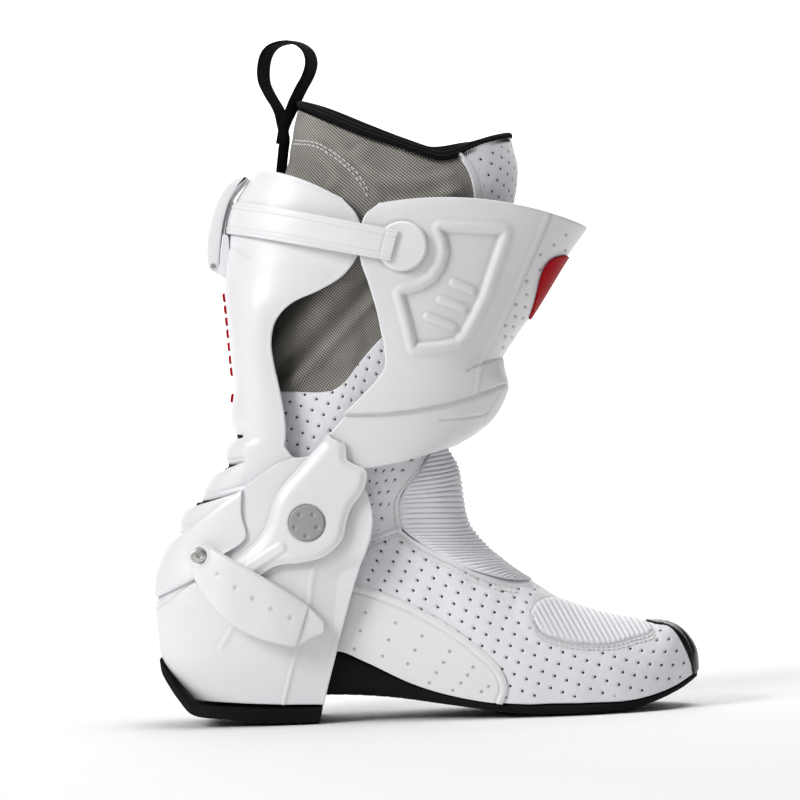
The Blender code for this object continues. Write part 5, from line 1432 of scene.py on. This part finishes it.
def build_arms():
    # each row of ARM_LINES is a point on the rear edge and its partner on the front edge
    outer = curve([(-108, 49), (-92, 49.8), (-78, 51.8), (-72, 52.4)])
    both = smooth_path(ARM_LINES, 190)
    rear, front = both[:, :2], both[:, 2:]
    x, z = ruled(rear, front, 84).transpose(2, 0, 1)
    rear_gap, front_gap = path_distance(rear, x, z), path_distance(front, x, z)
    hub = point_distance([ANKLE], x, z)
    relief = -2.2 * (1 - ramp(rear_gap, 0.0, 8.0)) ** 1.5 - 1.4 * (1 - ramp(front_gap, 0.0, 5.0)) ** 1.5
    relief -= 1.6 * (1 - ramp(160.0 - z, 2.0, 16.0))
    scoop = path_distance([(-95, 88), (-78.5, 98)], x, z)
    relief += 0.9 * (1 - ramp(scoop, 1.6, 4.0))
    relief = relief * ramp(hub, 10.0, 20.0) - 1.1 * (1 - ramp(hub, 9.6, 10.8))
    mesh = skin_mesh(np.stack([x, -outer(x), z], axis=2), 3.4, (-60, 0, 120), relief)
    pair("hinge_arm_cover", mesh, SHELL, "cuff", "hinge_arm")

    def cap_face(r, dx, dz):
        dimple = ridge(point_distance(CAP_DIMPLES, dx + ANKLE[0], dz + ANKLE[1]), 1.0)
        return 0.9 - 0.5 * ramp(r, 8.9, 9.8) - 1.1 * dimple

    cap = disc_mesh(ANKLE, 52.4, 9.8, cap_face, 0.6, 60, 110)
    pair("hinge_cap_cover", cap, CAP, "cuff", "hinge_cap")


for build in (build_foot_leather, build_bumper, build_outsole, build_heel_rubber, build_insole,
              build_guards, build_ankle_leather, build_mesh_shaft, build_tongue, build_collar,
              build_overlock, build_lining, build_shaft_seams, build_instep, build_instep_stitches,
              build_foot_stitches, build_gaiter, build_pull_loop, build_counter, build_heel_band,
              build_heel_levers, build_lames, build_calf, build_calf_marks, build_strap, build_buckle,
              build_buttons, build_shin, build_shin_band, build_red_drop, build_arms):
    build()


# ---- the set, lights and camera ----
def build_set():
    profile = [(-3.0, 0.0), (2.6, 0.0)]
    for a in np.linspace(0.1, math.pi / 2, 12):
        profile.append((2.6 + 0.5 * math.sin(a), 0.5 - 0.5 * math.cos(a)))
    profile += [(3.1, 3.0)]
    points = [(x, y, z) for y, z in profile for x in (-3.2, 3.2)]
    faces = [(2 * n, 2 * n + 1, 2 * n + 3, 2 * n + 2) for n in range(len(profile) - 1)]
    mesh = bpy.data.meshes.new("backdrop")
    mesh.from_pydata([(x, y, z - 0.0005) for x, y, z in points], [], faces)
    mesh.shade_smooth()
    p = Paint("paper", (0.93, 0.93, 0.93), 0.9)
    mottle = p.ease(p.noise(6.0, 2.0), 0.3, 0.7)
    mesh.materials.append(p.finish(p.mix(mottle, (0.93, 0.93, 0.93), (0.92, 0.92, 0.92))))
    obj = bpy.data.objects.new("backdrop", mesh)
    bpy.context.scene.collection.objects.link(obj)


def area_light(name, where, aim, width, height, power):
    data = bpy.data.lights.new(name, "AREA")
    data.shape = "RECTANGLE"
    data.size, data.size_y, data.energy = width, height, power
    obj = bpy.data.objects.new(name, data)
    obj.location = where
    obj.rotation_euler = (Vector(aim) - Vector(where)).to_track_quat("-Z", "Y").to_euler()
    bpy.context.scene.collection.objects.link(obj)


build_set()
area_light("key", (-1.4, -1.1, 1.15), (-0.02, 0, 0.16), 0.8, 0.8, 27)
area_light("front_fill", (-0.5, -2.4, 0.9), (0, 0, 0.17), 1.2, 1.0, 3.0)
area_light("top", (0.35, -0.1, 1.6), (0.03, 0, 0.10), 1.0, 0.9, 12.0)
area_light("back_wash", (0.0, 1.3, 2.2), (0, 3.1, 1.0), 3.0, 1.2, 110)
world = bpy.data.worlds.new("studio")
world.use_nodes = True
background = world.node_tree.nodes["Background"]
background.inputs["Color"].default_value = (1.0, 1.0, 1.0, 1.0)
background.inputs["Strength"].default_value = 0.14
bpy.context.scene.world = world
bpy.context.scene.view_settings.view_transform = "Standard"

# the camera looks along +Y from the outer side, rolled like the photo
SENSOR, DISTANCE, VIEW_WIDTH, ROLL = 36.0, 2.2, 0.448, 2.1
camera_data = bpy.data.cameras.new("camera")
camera_data.sensor_width = SENSOR
camera_data.lens = SENSOR * DISTANCE / VIEW_WIDTH
camera_data.clip_end = 20.0
camera = bpy.data.objects.new("camera", camera_data)
camera.matrix_world = (Matrix.Translation((-0.0101, -DISTANCE, 0.1765))
                       @ Matrix.Rotation(math.radians(ROLL), 4, "Y")
                       @ Matrix.Rotation(math.radians(90), 4, "X"))
bpy.context.scene.collection.objects.link(camera)
bpy.context.scene.camera = camera
